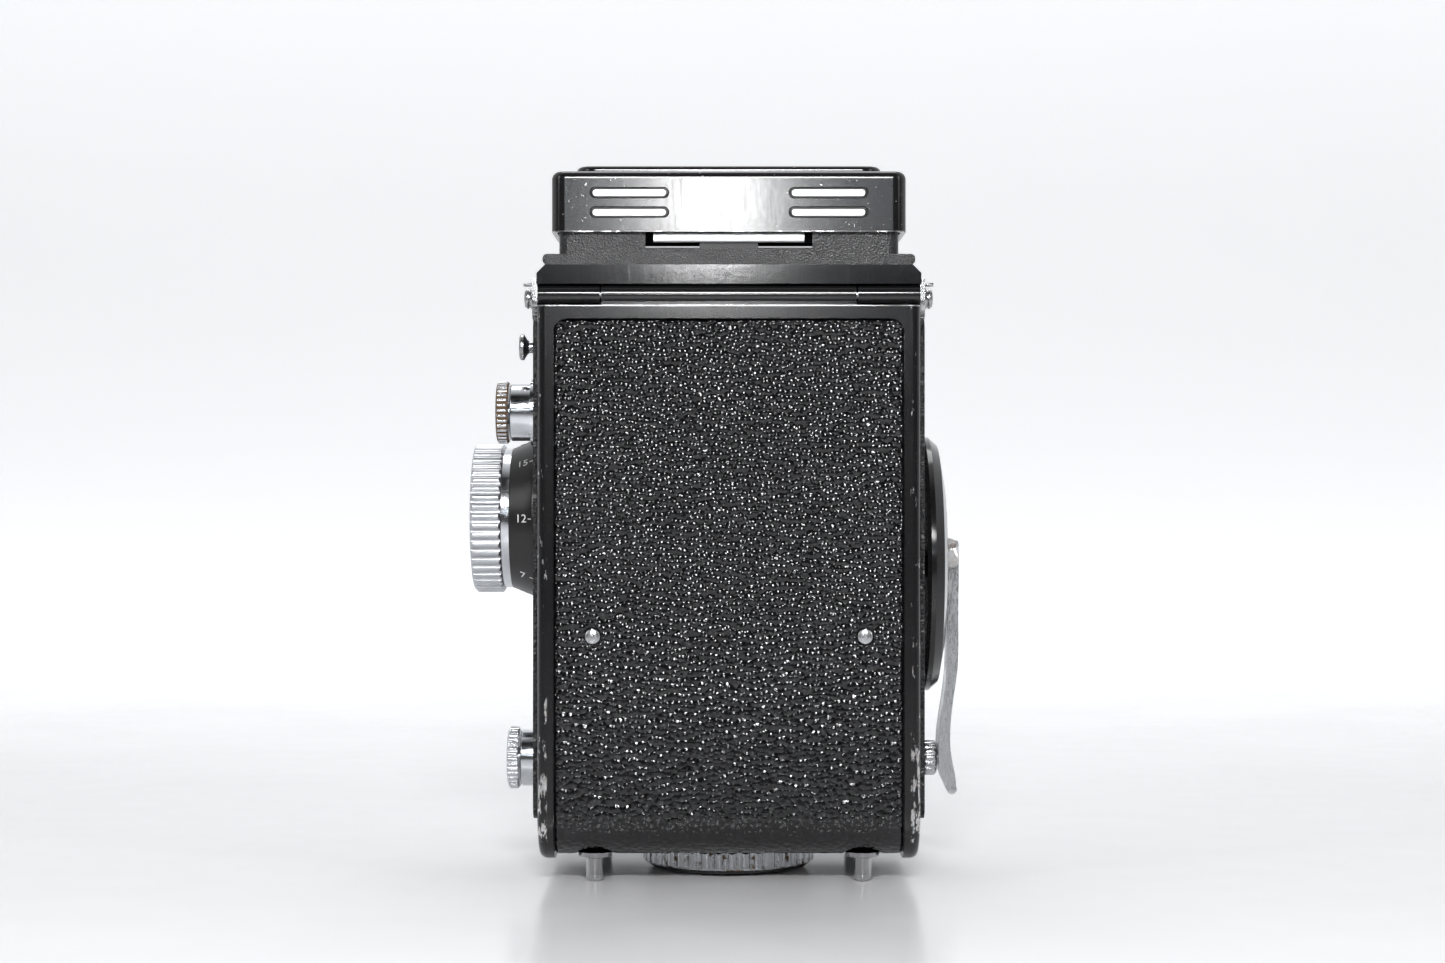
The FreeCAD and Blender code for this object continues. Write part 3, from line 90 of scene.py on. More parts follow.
# ================================================================ materials
class Finish:
    """A Principled material, with short calls for the nodes that drive it."""

    def __init__(self, name):
        self.material = bpy.data.materials.new(name)
        self.material.use_nodes = True
        self.tree = self.material.node_tree
        self.tree.nodes.clear()
        self.shader = self.new("ShaderNodeBsdfPrincipled")
        out = self.new("ShaderNodeOutputMaterial")
        self.tree.links.new(self.shader.outputs[0], out.inputs["Surface"])
        self.place = self.new("ShaderNodeTexCoord").outputs["Object"]

    def new(self, kind, **settings):
        node = self.tree.nodes.new(kind)
        for key, value in settings.items():
            setattr(node, key, value)
        return node

    def feed(self, socket, value):
        """Link a socket, or set it to a number or a grey or a colour."""
        if isinstance(value, bpy.types.NodeSocket):
            self.tree.links.new(value, socket)
        elif socket.type == "RGBA":
            colour = (value,) * 3 if isinstance(value, (int, float)) else tuple(value)
            socket.default_value = (*colour, 1.0)
        else:
            socket.default_value = value

    def set(self, **sockets):
        """Shader sockets by name, with _ for a space."""
        for name, value in sockets.items():
            self.feed(self.shader.inputs[name.replace("_", " ")], value)
        return self

    def math(self, operation, a, b=0.0):
        node = self.new("ShaderNodeMath", operation=operation)
        self.feed(node.inputs[0], a)
        self.feed(node.inputs[1], b)
        return node.outputs[0]

    def band(self, value, low, high, start=0.0, end=1.0):
        """Smooth step of a value from low to high, giving start to end."""
        node = self.new("ShaderNodeMapRange", interpolation_type="SMOOTHSTEP")
        for socket, item in zip(node.inputs, (value, low, high, start, end)):
            self.feed(socket, item)
        return node.outputs[0]

    def mix(self, share, first, second):
        node = self.new("ShaderNodeMix", data_type="RGBA")
        self.feed(node.inputs[0], share)
        self.feed(node.inputs[6], first)
        self.feed(node.inputs[7], second)
        return node.outputs[2]

    def stretched(self, x, y, z):
        """Object coordinates scaled along each axis."""
        node = self.new("ShaderNodeMapping")
        self.feed(node.inputs["Vector"], self.place)
        node.inputs["Scale"].default_value = (x, y, z)
        return node.outputs[0]

    def noise(self, size_mm, detail=2.0, place=None, roughness=0.55):
        """Noise with features of about that size."""
        node = self.new("ShaderNodeTexNoise")
        self.feed(node.inputs["Vector"], place or self.place)
        node.inputs["Scale"].default_value = 1.0 / (size_mm * MM)
        node.inputs["Detail"].default_value = detail
        node.inputs["Roughness"].default_value = roughness
        return node.outputs["Fac"]

    def cells(self, size_mm, feature="F1", place=None):
        """Distance field of random cells of about that size."""
        node = self.new("ShaderNodeTexVoronoi", feature=feature)
        self.feed(node.inputs["Vector"], place or self.place)
        node.inputs["Scale"].default_value = 1.0 / (size_mm * MM)
        return node.outputs["Distance"]

    def part(self, axis):
        """One coordinate of the place, in metres."""
        node = self.new("ShaderNodeSeparateXYZ")
        self.feed(node.inputs[0], self.place)
        return node.outputs["XYZ".index(axis)]

    def radius(self, across, up, centre):
        """Distance from a line, in metres: the two axes across it and where it is."""
        a = self.math("SUBTRACT", self.part(across), centre[0])
        b = self.math("SUBTRACT", self.part(up), centre[1])
        square = self.math("ADD", self.math("MULTIPLY", a, a), self.math("MULTIPLY", b, b))
        return self.math("SQRT", square)

    def bump(self, height, depth_mm, under=None):
        """Normal from a height of 0 to 1 that stands for a depth."""
        node = self.new("ShaderNodeBump")
        node.inputs["Strength"].default_value = 1.0
        node.inputs["Distance"].default_value = depth_mm * MM
        self.feed(node.inputs["Height"], height)
        if under is not None:
            self.feed(node.inputs["Normal"], under)
        return node.outputs[0]


def leather_finish():
    """Black pebble-grain leather: domed bumps, a fine pore grain and painted shade that darkens the
    valleys between the domes.
    """
    f = Finish("pebble_leather")
    warp = f.noise(2.2, 1.0)
    apart = f.cells(PEBBLE)
    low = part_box("back_leather")[0]
    steep = f.band(f.part("Z"), low.z + 2 * MM, low.z + 62 * MM, -0.75, -1.9)
    dome = f.bump(f.math("MULTIPLY", f.math("MULTIPLY", apart, apart), steep), 0.25)
    cell = f.cells(0.42)
    pores = f.noise(0.16, 3.0)
    height = f.math("ADD", f.math("MULTIPLY", cell, 0.6), f.math("MULTIPLY", pores, 0.5))
    shade = f.mix(f.band(warp, 0.35, 0.7), (0.0045, 0.0045, 0.0055), (0.010, 0.010, 0.012))
    # painted shade: the base colour goes near black in the valleys between the pebble domes
    shade = f.mix(f.band(apart, 0.35, 0.7), shade, 0.002)
    # pale dust in the pores, laid over the painted valley shade
    dust_and_painted_shade = f.mix(f.math("MULTIPLY", f.band(pores, 0.62, 0.78), 0.2), shade, (0.04, 0.04, 0.045))
    return f.set(Base_Color=dust_and_painted_shade, Roughness=f.band(pores, 0.3, 0.7, 0.10, 0.20),
                 Specular_IOR_Level=0.6, Normal=f.bump(height, 0.008, dome)).material


def flat_leather_finish():
    """The same leather with its pebbles as bump, for the side and front strips."""
    f = Finish("pebble_leather_strip")
    lumps = f.cells(1.15, "DISTANCE_TO_EDGE")
    pebble = f.bump(f.band(lumps, 0.0, 0.3), 0.22)
    pores = f.noise(0.16, 3.0)
    return f.set(Base_Color=f.mix(f.band(pores, 0.4, 0.7), (0.006, 0.006, 0.007), (0.016, 0.016, 0.018)),
                 Roughness=f.band(pores, 0.3, 0.7, 0.3, 0.5),
                 Normal=f.bump(pores, 0.03, pebble)).material


def enamel(name, roughness, peel_mm=0.006, worn=None):
    """Black enamel: orange peel, dust, fine scratches, and worn metal where asked.

    worn is a function of the finish that gives 0 to 1, where 1 is bare metal.
    """
    f = Finish(name)
    peel = f.bump(f.noise(1.6, 2.0), peel_mm)
    scratch = f.noise(0.5, 2.0, f.stretched(1.0, 1.0, 0.06))
    dust = f.band(f.noise(0.28, 1.0), 0.70, 0.76)
    tone = f.mix(f.noise(9.0, 3.0), (0.0065, 0.0065, 0.0075), (0.013, 0.0125, 0.013))
    tone = f.mix(f.math("MULTIPLY", dust, 0.25), tone, (0.16, 0.16, 0.17))
    rough = f.math("ADD", f.band(scratch, 0.45, 0.8, 0.0, 0.035), roughness)
    f.set(Normal=peel)
    if worn is None:
        return f.set(Base_Color=tone, Roughness=rough).material
    bare = worn(f)
    brass = f.band(f.noise(1.2, 2.0), 0.45, 0.6)
    metal = f.mix(brass, (0.62, 0.6, 0.58), (0.75, 0.76, 0.78))
    return f.set(Base_Color=f.mix(bare, tone, metal), Metallic=bare,
                 Roughness=f.mix(bare, rough, 0.3)).material


def door_wear(f):
    """Chips on the rounded side rims, worst low down, and a thin bare line along the top rim."""
    leather_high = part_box("back_leather")[1]
    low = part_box("back_door")[0]
    across = f.math("ABSOLUTE", f.part("X"))
    height = f.part("Z")
    on_rim = f.band(across, leather_high.x + 1.25 * MM, leather_high.x + 1.55 * MM)
    rearmost = f.band(f.part("Y"), leather_high.y - 1.4 * MM, leather_high.y - 0.8 * MM)
    lower = f.band(height, low.z + 42 * MM, low.z + 6 * MM, 0.0, 0.12)
    patchy = f.noise(2.2, 7.0, f.stretched(1.6, 1.0, 0.4), 0.72)
    share = f.band(patchy, f.math("SUBTRACT", 0.62, lower), f.math("SUBTRACT", 0.65, lower))
    rims = f.math("MULTIPLY", f.math("MULTIPLY", on_rim, rearmost), share)
    line_z = leather_high.z + 2.7 * MM
    line = f.math("MULTIPLY", f.band(height, line_z - 0.12 * MM, line_z),
                  f.band(height, line_z + 0.3 * MM, line_z + 0.18 * MM))
    worn_line = f.band(f.noise(5.0, 5.0, f.stretched(0.4, 1.0, 1.0)), 0.3, 0.5, 0.25, 0.85)
    top = f.math("MULTIPLY", f.math("MULTIPLY", line, worn_line), rearmost)
    return f.math("MAXIMUM", rims, top)


def lid_wear(f):
    """Small bare chips on the lid's lower edge and corners."""
    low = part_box("hood_lid")[0]
    edge = f.band(f.part("Z"), low.z + 0.3 * MM, low.z + 0.12 * MM)
    chips = f.band(f.noise(1.6, 5.0, f.stretched(0.5, 1.0, 1.0)), 0.5, 0.56, 0.15, 0.8)
    pits = f.band(f.noise(0.5, 1.0), 0.74, 0.78, 0.0, 0.55)
    return f.math("MAXIMUM", f.math("MULTIPLY", edge, chips), pits)


def lug_metal(f):
    """The bare fork on the crank disc that carries the folding arm."""
    low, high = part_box("crank_pin")
    beyond = f.band(f.part("X"), high.x + 0.95 * MM, high.x + 0.85 * MM)
    beside = f.radius("X", "Z", ((low.x + high.x) / 2, (low.z + high.z) / 2))
    return f.math("MULTIPLY", beyond, f.band(beside, 9.0 * MM, 8.5 * MM))


def trim_paint():
    """Bright round-ended bars in black outlines, and the latch with its bright bar."""
    f = Finish("bright_trim")
    low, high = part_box("hood_trim")
    latch_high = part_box("hood_latch")[1]
    half_tall, half_long = TRIM_BAR_TALL / 2 * MM, TRIM_BAR_LONG / 2 * MM
    up = f.part("Z")
    from_middle = f.math("ABSOLUTE", f.math("SUBTRACT", up, (low.z + high.z) / 2))
    rise = f.math("SUBTRACT", from_middle, (high.z - low.z - TRIM_PLATE_TALL * MM) / 2)
    along = f.math("SUBTRACT", f.math("ABSOLUTE", f.part("X")), high.x - TRIM_BAR_INSET * MM)
    past = f.math("MAXIMUM", f.math("SUBTRACT", f.math("ABSOLUTE", along), half_long - half_tall), 0.0)
    away = f.math("SQRT", f.math("ADD", f.math("MULTIPLY", rise, rise), f.math("MULTIPLY", past, past)))
    bar = f.band(away, half_tall + 0.05 * MM, half_tall - 0.05 * MM)
    latch = f.math("MULTIPLY", f.band(up, latch_high.z - 2.05 * MM, latch_high.z - 1.95 * MM),
                   f.band(f.part("Y"), latch_high.y - 1.5 * MM, latch_high.y - 1.3 * MM))
    latch = f.math("MULTIPLY", latch, f.band(up, low.z - 0.5 * MM, low.z - 1.0 * MM))
    bright = f.math("MAXIMUM", bar, latch)
    scuff = f.noise(0.2, 3.0, f.stretched(0.15, 1.0, 1.0))
    f.set(Base_Color=f.mix(bright, 0.010, f.mix(scuff, (0.78, 0.79, 0.8), (0.92, 0.93, 0.94))))
    return f.set(Metallic=f.math("MULTIPLY", bright, 0.4), Roughness=0.36,
                 Normal=f.bump(scuff, 0.002)).material


def crackle_finish():
    """Wrinkle paint: tight raised worms that catch the light."""
    f = Finish("wrinkle_paint")
    twist = f.noise(0.34, 4.0)
    worms = f.cells(0.3, "SMOOTH_F1")
    height = f.math("ADD", f.math("MULTIPLY", twist, 0.7), f.math("MULTIPLY", worms, 0.6))
    shade = f.mix(f.band(twist, 0.4, 0.62), (0.005, 0.005, 0.006), (0.022, 0.022, 0.024))
    return f.set(Base_Color=shade, Roughness=f.band(twist, 0.35, 0.65, 0.42, 0.16),
                 Normal=f.bump(height, 0.14)).material


def matt_black(name, shade=0.012):
    """Matt black paint with a dry, dusty tooth."""
    f = Finish(name)
    tooth = f.noise(0.12, 3.0)
    tone = f.mix(f.noise(6.0, 3.0), shade * 0.7, shade * 1.4)
    return f.set(Base_Color=tone, Roughness=f.band(tooth, 0.3, 0.7, 0.55, 0.8),
                 Normal=f.bump(tooth, 0.012)).material


def metal(name, tone, roughness, grain=(1.0, 1.0, 1.0), grain_mm=0.25, depth_mm=0.004, grime=None):
    """Bare metal with a directional grain, dull patches and optional grime.

    grime is a function of the finish that gives 0 to 1, where 1 is packed with dirt.
    """
    f = Finish(name)
    lines = f.noise(grain_mm, 3.0, f.stretched(*grain))
    patches = f.noise(3.5, 4.0)
    dull = tuple(0.88 * c for c in tone)
    colour = f.mix(f.band(patches, 0.35, 0.7), tone, dull)
    rough = f.math("ADD", f.band(patches, 0.3, 0.7, 0.0, 0.06), f.band(lines, 0.3, 0.7, roughness,
                                                                     roughness + 0.1))
    f.set(Normal=f.bump(lines, depth_mm))
    if grime is None:
        return f.set(Base_Color=colour, Metallic=1.0, Roughness=rough).material
    dirt = grime(f)
    brown = f.mix(f.noise(0.5, 3.0), (0.05, 0.028, 0.012), (0.2, 0.12, 0.05))
    return f.set(Base_Color=f.mix(dirt, colour, brown), Metallic=f.math("SUBTRACT", 1.0, dirt),
                 Roughness=f.mix(dirt, rough, 0.75)).material


def groove_grime(across, up, node, depth_mm, share=0.5):
    """Grime that packs the flutes of a knurled rim, worse in some than in others."""
    low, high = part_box(node)
    middle = (low + high) / 2
    centre = (middle["XYZ".index(across)], middle["XYZ".index(up)])
    rim = high["XYZ".index(across)] - centre[0]

    def grime(f):
        away = f.radius(across, up, centre)
        deep = f.band(away, rim - 0.35 * depth_mm * MM, rim - 0.75 * depth_mm * MM)
        shallow = f.band(away, rim - 1.9 * depth_mm * MM, rim - 1.3 * depth_mm * MM)
        uneven = f.band(f.noise(1.8, 4.0), 1.0 - share - 0.06, 1.0 - share + 0.06)
        return f.math("MULTIPLY", f.math("MULTIPLY", deep, shallow), uneven)
    return grime


def glass_finish(name, tint, roughness=0.01):
    """Coated glass."""
    f = Finish(name)
    smear = f.noise(7.0, 3.0)
    return f.set(Base_Color=tint, Transmission_Weight=1.0, IOR=1.52, Coat_Weight=0.6,
                 Coat_Tint=(0.85, 0.78, 1.0), Roughness=f.band(smear, 0.4, 0.8, roughness,
                                                            roughness + 0.03)).material


def screen_finish():
    """Ground glass: milky, with a fine tooth."""
    f = Finish("ground_glass")
    tooth = f.noise(0.09, 2.0)
    return f.set(Base_Color=f.mix(tooth, (0.6, 0.62, 0.62), (0.75, 0.77, 0.77)),
                 Transmission_Weight=0.5, Roughness=0.55, Normal=f.bump(tooth, 0.01)).material


def mirror_finish():
    """Front-silvered mirror with faint haze."""
    f = Finish("silvered_mirror")
    return f.set(Base_Color=(0.93, 0.93, 0.92), Metallic=1.0,
                 Roughness=f.band(f.noise(5.0, 4.0), 0.4, 0.75, 0.01, 0.06)).material


def white_fill():
    """White paint filled into the engraved figures."""
    f = Finish("white_fill")
    specks = f.noise(0.3, 3.0)
    return f.set(Base_Color=f.mix(f.band(specks, 0.55, 0.75), (0.8, 0.8, 0.78), (0.45, 0.44, 0.42)),
                 Roughness=0.5, Normal=f.bump(specks, 0.01)).material


# ================================================================ geometry helpers
def paint(node, material):
    """One material over a CAD node."""
    data = NODES[node].data
    data.materials.clear()
    data.materials.append(material)


def soften(node, width_mm=0.2, segments=2):
    """Small rounds on a CAD node's sharp edges, so that they catch the light."""
    obj = NODES[node]
    weld = obj.modifiers.new("weld", "WELD")
    weld.merge_threshold = 1e-6
    bevel = obj.modifiers.new("bevel", "BEVEL")
    bevel.width = width_mm * MM
    bevel.segments = segments
    bevel.limit_method = "ANGLE"
    bevel.angle_limit = math.radians(32)
    bevel.use_clamp_overlap = True
    flat = obj.modifiers.new("flat_faces", "WEIGHTED_NORMAL")
    flat.mode = "FACE_AREA"
    flat.weight = 100
    for polygon in obj.data.polygons:
        polygon.use_smooth = True


def mesh_object(name, vertices, faces, material, smooth=True):
    """A new mesh object in the row frame."""
    data = bpy.data.meshes.new(name)
    data.from_pydata([tuple(v) for v in vertices], [], faces)
    data.materials.append(material)
    for polygon in data.polygons:
        polygon.use_smooth = smooth
    data.update()
    obj = bpy.data.objects.new(name, data)
    bpy.context.scene.collection.objects.link(obj)
    return obj


def pebbles(across, along, cell_mm, rng):
    """Leather grain at points in millimetres: 0 in the valleys, up to 1 on the domes."""
    columns = int(across.max() / cell_mm) + 6
    rows = int(along.max() / cell_mm) + 6
    jitter = rng.uniform(0.1, 0.9, (columns, rows, 2))
    swell = rng.uniform(0.7, 1.0, (columns, rows))
    cx = np.floor(across / cell_mm).astype(int)
    cy = np.floor(along / cell_mm).astype(int)
    nearest = np.full(across.shape, 9.0)
    dome = np.zeros(across.shape)
    for dx in (-1, 0, 1):
        for dy in (-1, 0, 1):
            ix, iy = cx + dx + 2, cy + dy + 2
            px = cx + dx + jitter[ix, iy, 0] - across / cell_mm
            py = cy + dy + jitter[ix, iy, 1] - along / cell_mm
            distance = np.hypot(px, py)
            closer = distance < nearest
            dome = np.where(closer, swell[ix, iy], dome)
            nearest = np.where(closer, distance, nearest)
    return dome * np.clip(1.0 - (nearest / 0.78) ** 2, 0.0, 1.0)


def spaced(length, step):
    """Even stations from 0 to a length, about a step apart."""
    return np.linspace(0.0, length, int(round(length / step)) + 1)


def grained_door_leather(material):
    """The door's leather as one sheet that turns under the lower corner, with a real grain."""
    low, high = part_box("back_leather")
    wide, rear, top = high.x / MM, high.y / MM, high.z / MM
    bottom, front = low.z / MM, low.y / MM
    bend = DOOR_BEND
    upright = top - bottom - bend
    turn = bend * math.pi / 2
    under = rear - bend - front
    x = spaced(2 * wide, GRAIN_STEP) - wide
    s = np.concatenate([spaced(upright + turn, 0.32), upright + turn + spaced(under, 0.6)[1:]])
    gx, gs = np.meshgrid(x, s, indexing="ij")

    def curve(sx, ss, depth):
        """Places of points on the sheet, sunk below its outer face by a depth."""
        angle = np.clip((ss - upright) / bend, 0.0, math.pi / 2)
        y = rear - bend + bend * np.cos(angle)
        z = bottom + bend - bend * np.sin(angle)
        z = z + np.clip(upright - ss, 0.0, None)
        y = y - np.clip(ss - upright - turn, 0.0, None)
        return np.stack([sx, y - depth * np.cos(angle), z + depth * np.sin(angle)], -1)

    on_base = upright + turn + rear - bend
    foot_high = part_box("feet")[1]
    foot_x = foot_high.x / MM - FOOT_FLANGE
    foot_y = foot_high.y / MM - FOOT_FLANGE
    screw_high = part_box("door_screws")[1]
    screw_x, screw_z = screw_high.x / MM - SCREW_HEAD, screw_high.z / MM - SCREW_HEAD
    dial_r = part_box("lock_dial")[1].x / MM + DIAL_GAP
    holes = [(0.0, on_base, dial_r)]
    for side in (-1, 1):
        holes.append((side * screw_x, top - screw_z, SCREW_HEAD + 0.15))
        for y in (-foot_y, foot_y):
            holes.append((side * foot_x, on_base - y, FOOT_FLANGE + HOLE_GAP))
    corner = LEATHER_CORNER
    kept = np.ones((len(x) - 1, len(s) - 1), bool)
    for hx, hs, radius in holes:
        away = np.hypot(gx - hx, gs - hs)
        near = np.abs(away - radius) < 0.24
        pull = np.where(near, radius / np.maximum(away, 1e-6), 1.0)
        gx, gs = hx + (gx - hx) * pull, hs + (gs - hs) * pull
        mx = (gx[:-1, :-1] + gx[1:, 1:]) / 2
        ms = (gs[:-1, :-1] + gs[1:, 1:]) / 2
        kept &= np.hypot(mx - hx, ms - hs) > radius
    for side in (-1, 1):
        hx, hs = side * (wide - corner), corner
        beyond = (gx * side > wide - corner) & (gs < corner)
        away = np.hypot(gx - hx, gs - hs)
        pull = np.where(beyond & (away > corner), corner / np.maximum(away, 1e-6), 1.0)
        gx, gs = hx + (gx - hx) * pull, hs + (gs - hs) * pull

    rng = np.random.default_rng(7)
    sway = 0.5 * np.sin(gs * 0.37 + 0.8 * np.sin(gx * 0.21))
    lift = 0.5 * np.sin(gx * 0.33 + 0.9 * np.sin(gs * 0.17))
    coarse = pebbles(gx + wide + 2.0 + sway, gs + 2.0 + lift, 0.98, rng)
    fine = pebbles(gx + wide, gs, 1.9, rng)
    slow = np.sin(gs * 0.11 + 0.6) * np.sin(gx * 0.17 + 1.0)
    press = 0.16 + 0.03 * slow
    depth = press * (1.0 - (0.8 * coarse + 0.2 * fine))
    edge = np.minimum(np.minimum(wide - np.abs(gx), gs), upright + turn + under - gs)
    for hx, hs, radius in holes:
        edge = np.minimum(edge, np.hypot(gx - hx, gs - hs) - radius)
    rolled = 0.34 * np.clip(1.0 - edge / 0.7, 0.0, 1.0) ** 2
    points = curve(gx, gs, np.minimum(depth + rolled, 0.55)) * MM
    tall = len(s)
    faces = []
    for i, j in zip(*np.nonzero(kept)):
        a = i * tall + j
        faces.append((int(a), int(a + 1), int(a + tall + 1), int(a + tall)))
    obj = mesh_object("back_leather_sheet", points.reshape(-1, 3), faces, material)
    seat = curve(gx, gs, 0.6) * MM
    close_edges(obj, seat.reshape(-1, 3))
    return obj


def close_edges(obj, seat):
    """Walls from a sheet's open edges down to what it lies on, then drop unused points."""
    import bmesh
    work = bmesh.new()
    work.from_mesh(obj.data)
    work.verts.ensure_lookup_table()
    edges = [e for e in work.edges if e.is_boundary]
    ring = {v for e in edges for v in e.verts}
    below = {v: work.verts.new(seat[v.index]) for v in ring}
    for edge in edges:
        a, b = edge.verts
        loop = edge.link_loops[0]
        if loop.vert is a:
            a, b = b, a
        face = work.faces.new((a, b, below[b], below[a]))
        face.smooth = False
    bmesh.ops.delete(work, geom=[v for v in work.verts if not v.link_faces], context="VERTS")
    work.to_mesh(obj.data)
    work.free()


def wrapped_figure(text, name, size_mm, bend, material):
    """Figures laid on a curved face: bend takes flat millimetres to a place in metres."""
    curve = bpy.data.curves.new(name + "_outline", "FONT")
    curve.body = text
    curve.size = size_mm
    curve.align_x = "CENTER"
    curve.align_y = "CENTER"
    curve.extrude = 0.03
    curve.resolution_u = 4
    source = bpy.data.objects.new(name + "_outline", curve)
    bpy.context.scene.collection.objects.link(source)
    bpy.context.view_layer.update()
    flat = bpy.data.meshes.new_from_object(source)
    places = [bend(v.co.x, v.co.y, v.co.z) for v in flat.vertices]
    faces = [tuple(p.vertices) for p in flat.polygons]
    bpy.data.objects.remove(source)
    bpy.data.curves.remove(curve)
    bpy.data.meshes.remove(flat)
    return mesh_object(name, places, faces, material, smooth=False)


# ================================================================ the camera
ALUMINIUM = (0.56, 0.575, 0.60)
CHROMIUM = (0.66, 0.68, 0.71)
STEEL = (0.55, 0.56, 0.575)
SPUN_X = (0.12, 1.0, 1.0)
SPUN_Y = (1.0, 0.12, 1.0)
SPUN_Z = (1.0, 1.0, 0.12)
WIDE_ROUNDS = {"back_door": 0.35, "crank_arm": 0.6}
AS_MACHINED = ("hood_lid", "body_casting", "focus_rim", "upper_spool_knob", "lower_spool_knob",
               "lock_dial", "feet")


def finish_all():
    """A finish for each material slot, and its own for the pieces that wear their own way."""
    by_slot = {
        "casting_black": enamel("body_enamel", 0.1),
        "door_black": enamel("door_enamel", 0.17, worn=door_wear),
        "board_black": enamel("board_enamel", 0.2),
        "crackle_black": crackle_finish(),
        "lid_black": enamel("lid_enamel", 0.15, worn=lid_wear),
        "flap_black": matt_black("flap_paint"),
        "leather": flat_leather_finish(),
        "inner_black": matt_black("inner_paint", 0.008),
        "crank_black": enamel("crank_enamel", 0.14, 0.003, worn=lug_metal),
        "scale_black": enamel("scale_enamel", 0.32, 0.002),
        "dial_face_black": matt_black("dial_paint", 0.014),
        "satin_metal": metal("satin_aluminium", ALUMINIUM, 0.27, SPUN_X),
        "knurled_metal": metal("knurled_aluminium", ALUMINIUM, 0.13, SPUN_X),
        "crank_metal": metal("brushed_arm", (0.58, 0.59, 0.61), 0.2, SPUN_Z, 0.18, 0.003),
        "chrome": metal("chromium", CHROMIUM, 0.07, SPUN_X, 0.2, 0.001),
        "trim_bright": trim_paint(),
        "steel": metal("turned_steel", STEEL, 0.22, SPUN_Z),
        "brass": metal("brass", (0.66, 0.46, 0.18), 0.28, SPUN_X),
        "glass": glass_finish("coated_glass", (0.96, 0.97, 1.0)),
        "ground_glass": screen_finish(),
        "mirror": mirror_finish(),
        "spool_black": enamel("spool_paint", 0.35),
    }
    own = {
        "strap_lugs": metal("lug_steel", (0.5, 0.5, 0.51), 0.16, SPUN_Y, 0.3, 0.003),
        "side_stud": metal("stud_steel", (0.42, 0.42, 0.42), 0.2, SPUN_X, 0.2, 0.002),
        "feet": metal("foot_steel", (0.5, 0.5, 0.51), 0.13, SPUN_Z, 0.3, 0.001),
        "lock_dial": metal("dial_knurl", ALUMINIUM, 0.15, SPUN_Z, 0.2, 0.004,
                           groove_grime("X", "Y", "lock_dial", 0.55, 0.42)),
        "upper_spool_knob": metal("upper_knurl", ALUMINIUM, 0.13, SPUN_X, 0.2, 0.003,
                                  groove_grime("Y", "Z", "upper_spool_knob", 0.35, 0.62)),
        "lower_spool_knob": metal("lower_knurl", ALUMINIUM, 0.13, SPUN_X, 0.2, 0.003,
                                  groove_grime("Y", "Z", "lower_spool_knob", 0.35, 0.25)),
        "viewing_barrel": metal("viewing_ring", ALUMINIUM, 0.25, SPUN_Y),
        "taking_barrel": metal("taking_ring", ALUMINIUM, 0.25, SPUN_Y),
        "crank_pin": metal("pin_steel", (0.3, 0.27, 0.25), 0.4, SPUN_Y),
    }
    sharp = {"focusing_screen", "reflex_mirror", "film_gate", "pressure_spring", "shutter_blades",
             "viewing_glass", "taking_glass", "magnifier_lens", "front_leather", "crank_gear",
             "spool_gear", "idler_gear", "light_baffle"}
    for node, obj in NODES.items():
        paint(node, own.get(node, by_slot[obj.data.materials[0].name]))
        if node in AS_MACHINED:
            for polygon in obj.data.polygons:
                polygon.use_smooth = True
        elif node not in sharp:
            soften(node, WIDE_ROUNDS.get(node, 0.12))


def scale_figures(material):
    """Distance figures round the focus skirt, each with its index line, upright from behind."""
    low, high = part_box("focus_skirt")
    centre = (low + high) / 2
    wide_r = (high.z - low.z) / 2 / MM
    cone_x = SKIRT_CONE
    narrow_r = wide_r - SKIRT_TAPER

    def laid_at(x0, angle0):
        def bend(tx, ty, tz):
            x = x0 - tx
            share = (x - cone_x[0]) / (cone_x[1] - cone_x[0])
            radius = wide_r + (narrow_r - wide_r) * share + tz + 0.05
            angle = angle0 + ty / radius
            return (x * MM, centre.y + radius * math.cos(angle) * MM,
                    centre.z + radius * math.sin(angle) * MM)
        return bend

    figures = ("12", "15", "20", "30", "60", "3.5", "4", "5", "6", "7")
    angles = (0, 46, 84, 118, 150, 182, 214, 246, 280, 312)
    for index, (text, degrees) in enumerate(zip(figures, angles)):
        name = f"scale_figure_{index + 1}"
        turn = math.radians(degrees)
        obj = wrapped_figure(text, name, FIGURE_SIZE, laid_at(FIGURE_PLACE, turn), material)
        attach(obj, "focus_knob")
        line = flat_bar(f"scale_line_{index + 1}", 0.7, 0.2, laid_at(LINE_PLACE, turn), material)
        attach(line, "focus_knob")


def flat_bar(name, length, width, bend, material):
    """A thin painted line laid on a curved face."""
    corners = [(-length / 2, -width / 2), (length / 2, -width / 2), (length / 2, width / 2),
               (-length / 2, width / 2)]
    places = [bend(x, y, 0.0) for x, y in corners] + [bend(x, y, 0.05) for x, y in corners]
    faces = [(4, 5, 6, 7), (0, 1, 5, 4), (1, 2, 6, 5), (2, 3, 7, 6), (3, 0, 4, 7)]
    return mesh_object(name, places, faces, material, smooth=False)


# ================================================================ the studio
def emitter(name, place, target, width, height, power, colour=(1.0, 1.0, 1.0)):
    """A soft rectangular light that faces a target."""
    lamp = bpy.data.lights.new(name, "AREA")
    lamp.shape = "RECTANGLE"
    lamp.size, lamp.size_y = width, height
    lamp.energy = power
    lamp.color = colour
    obj = bpy.data.objects.new(name, lamp)
    obj.location = place
    obj.rotation_euler = (Vector(target) - Vector(place)).to_track_quat("-Z", "Y").to_euler()
    bpy.context.scene.collection.objects.link(obj)
    return obj


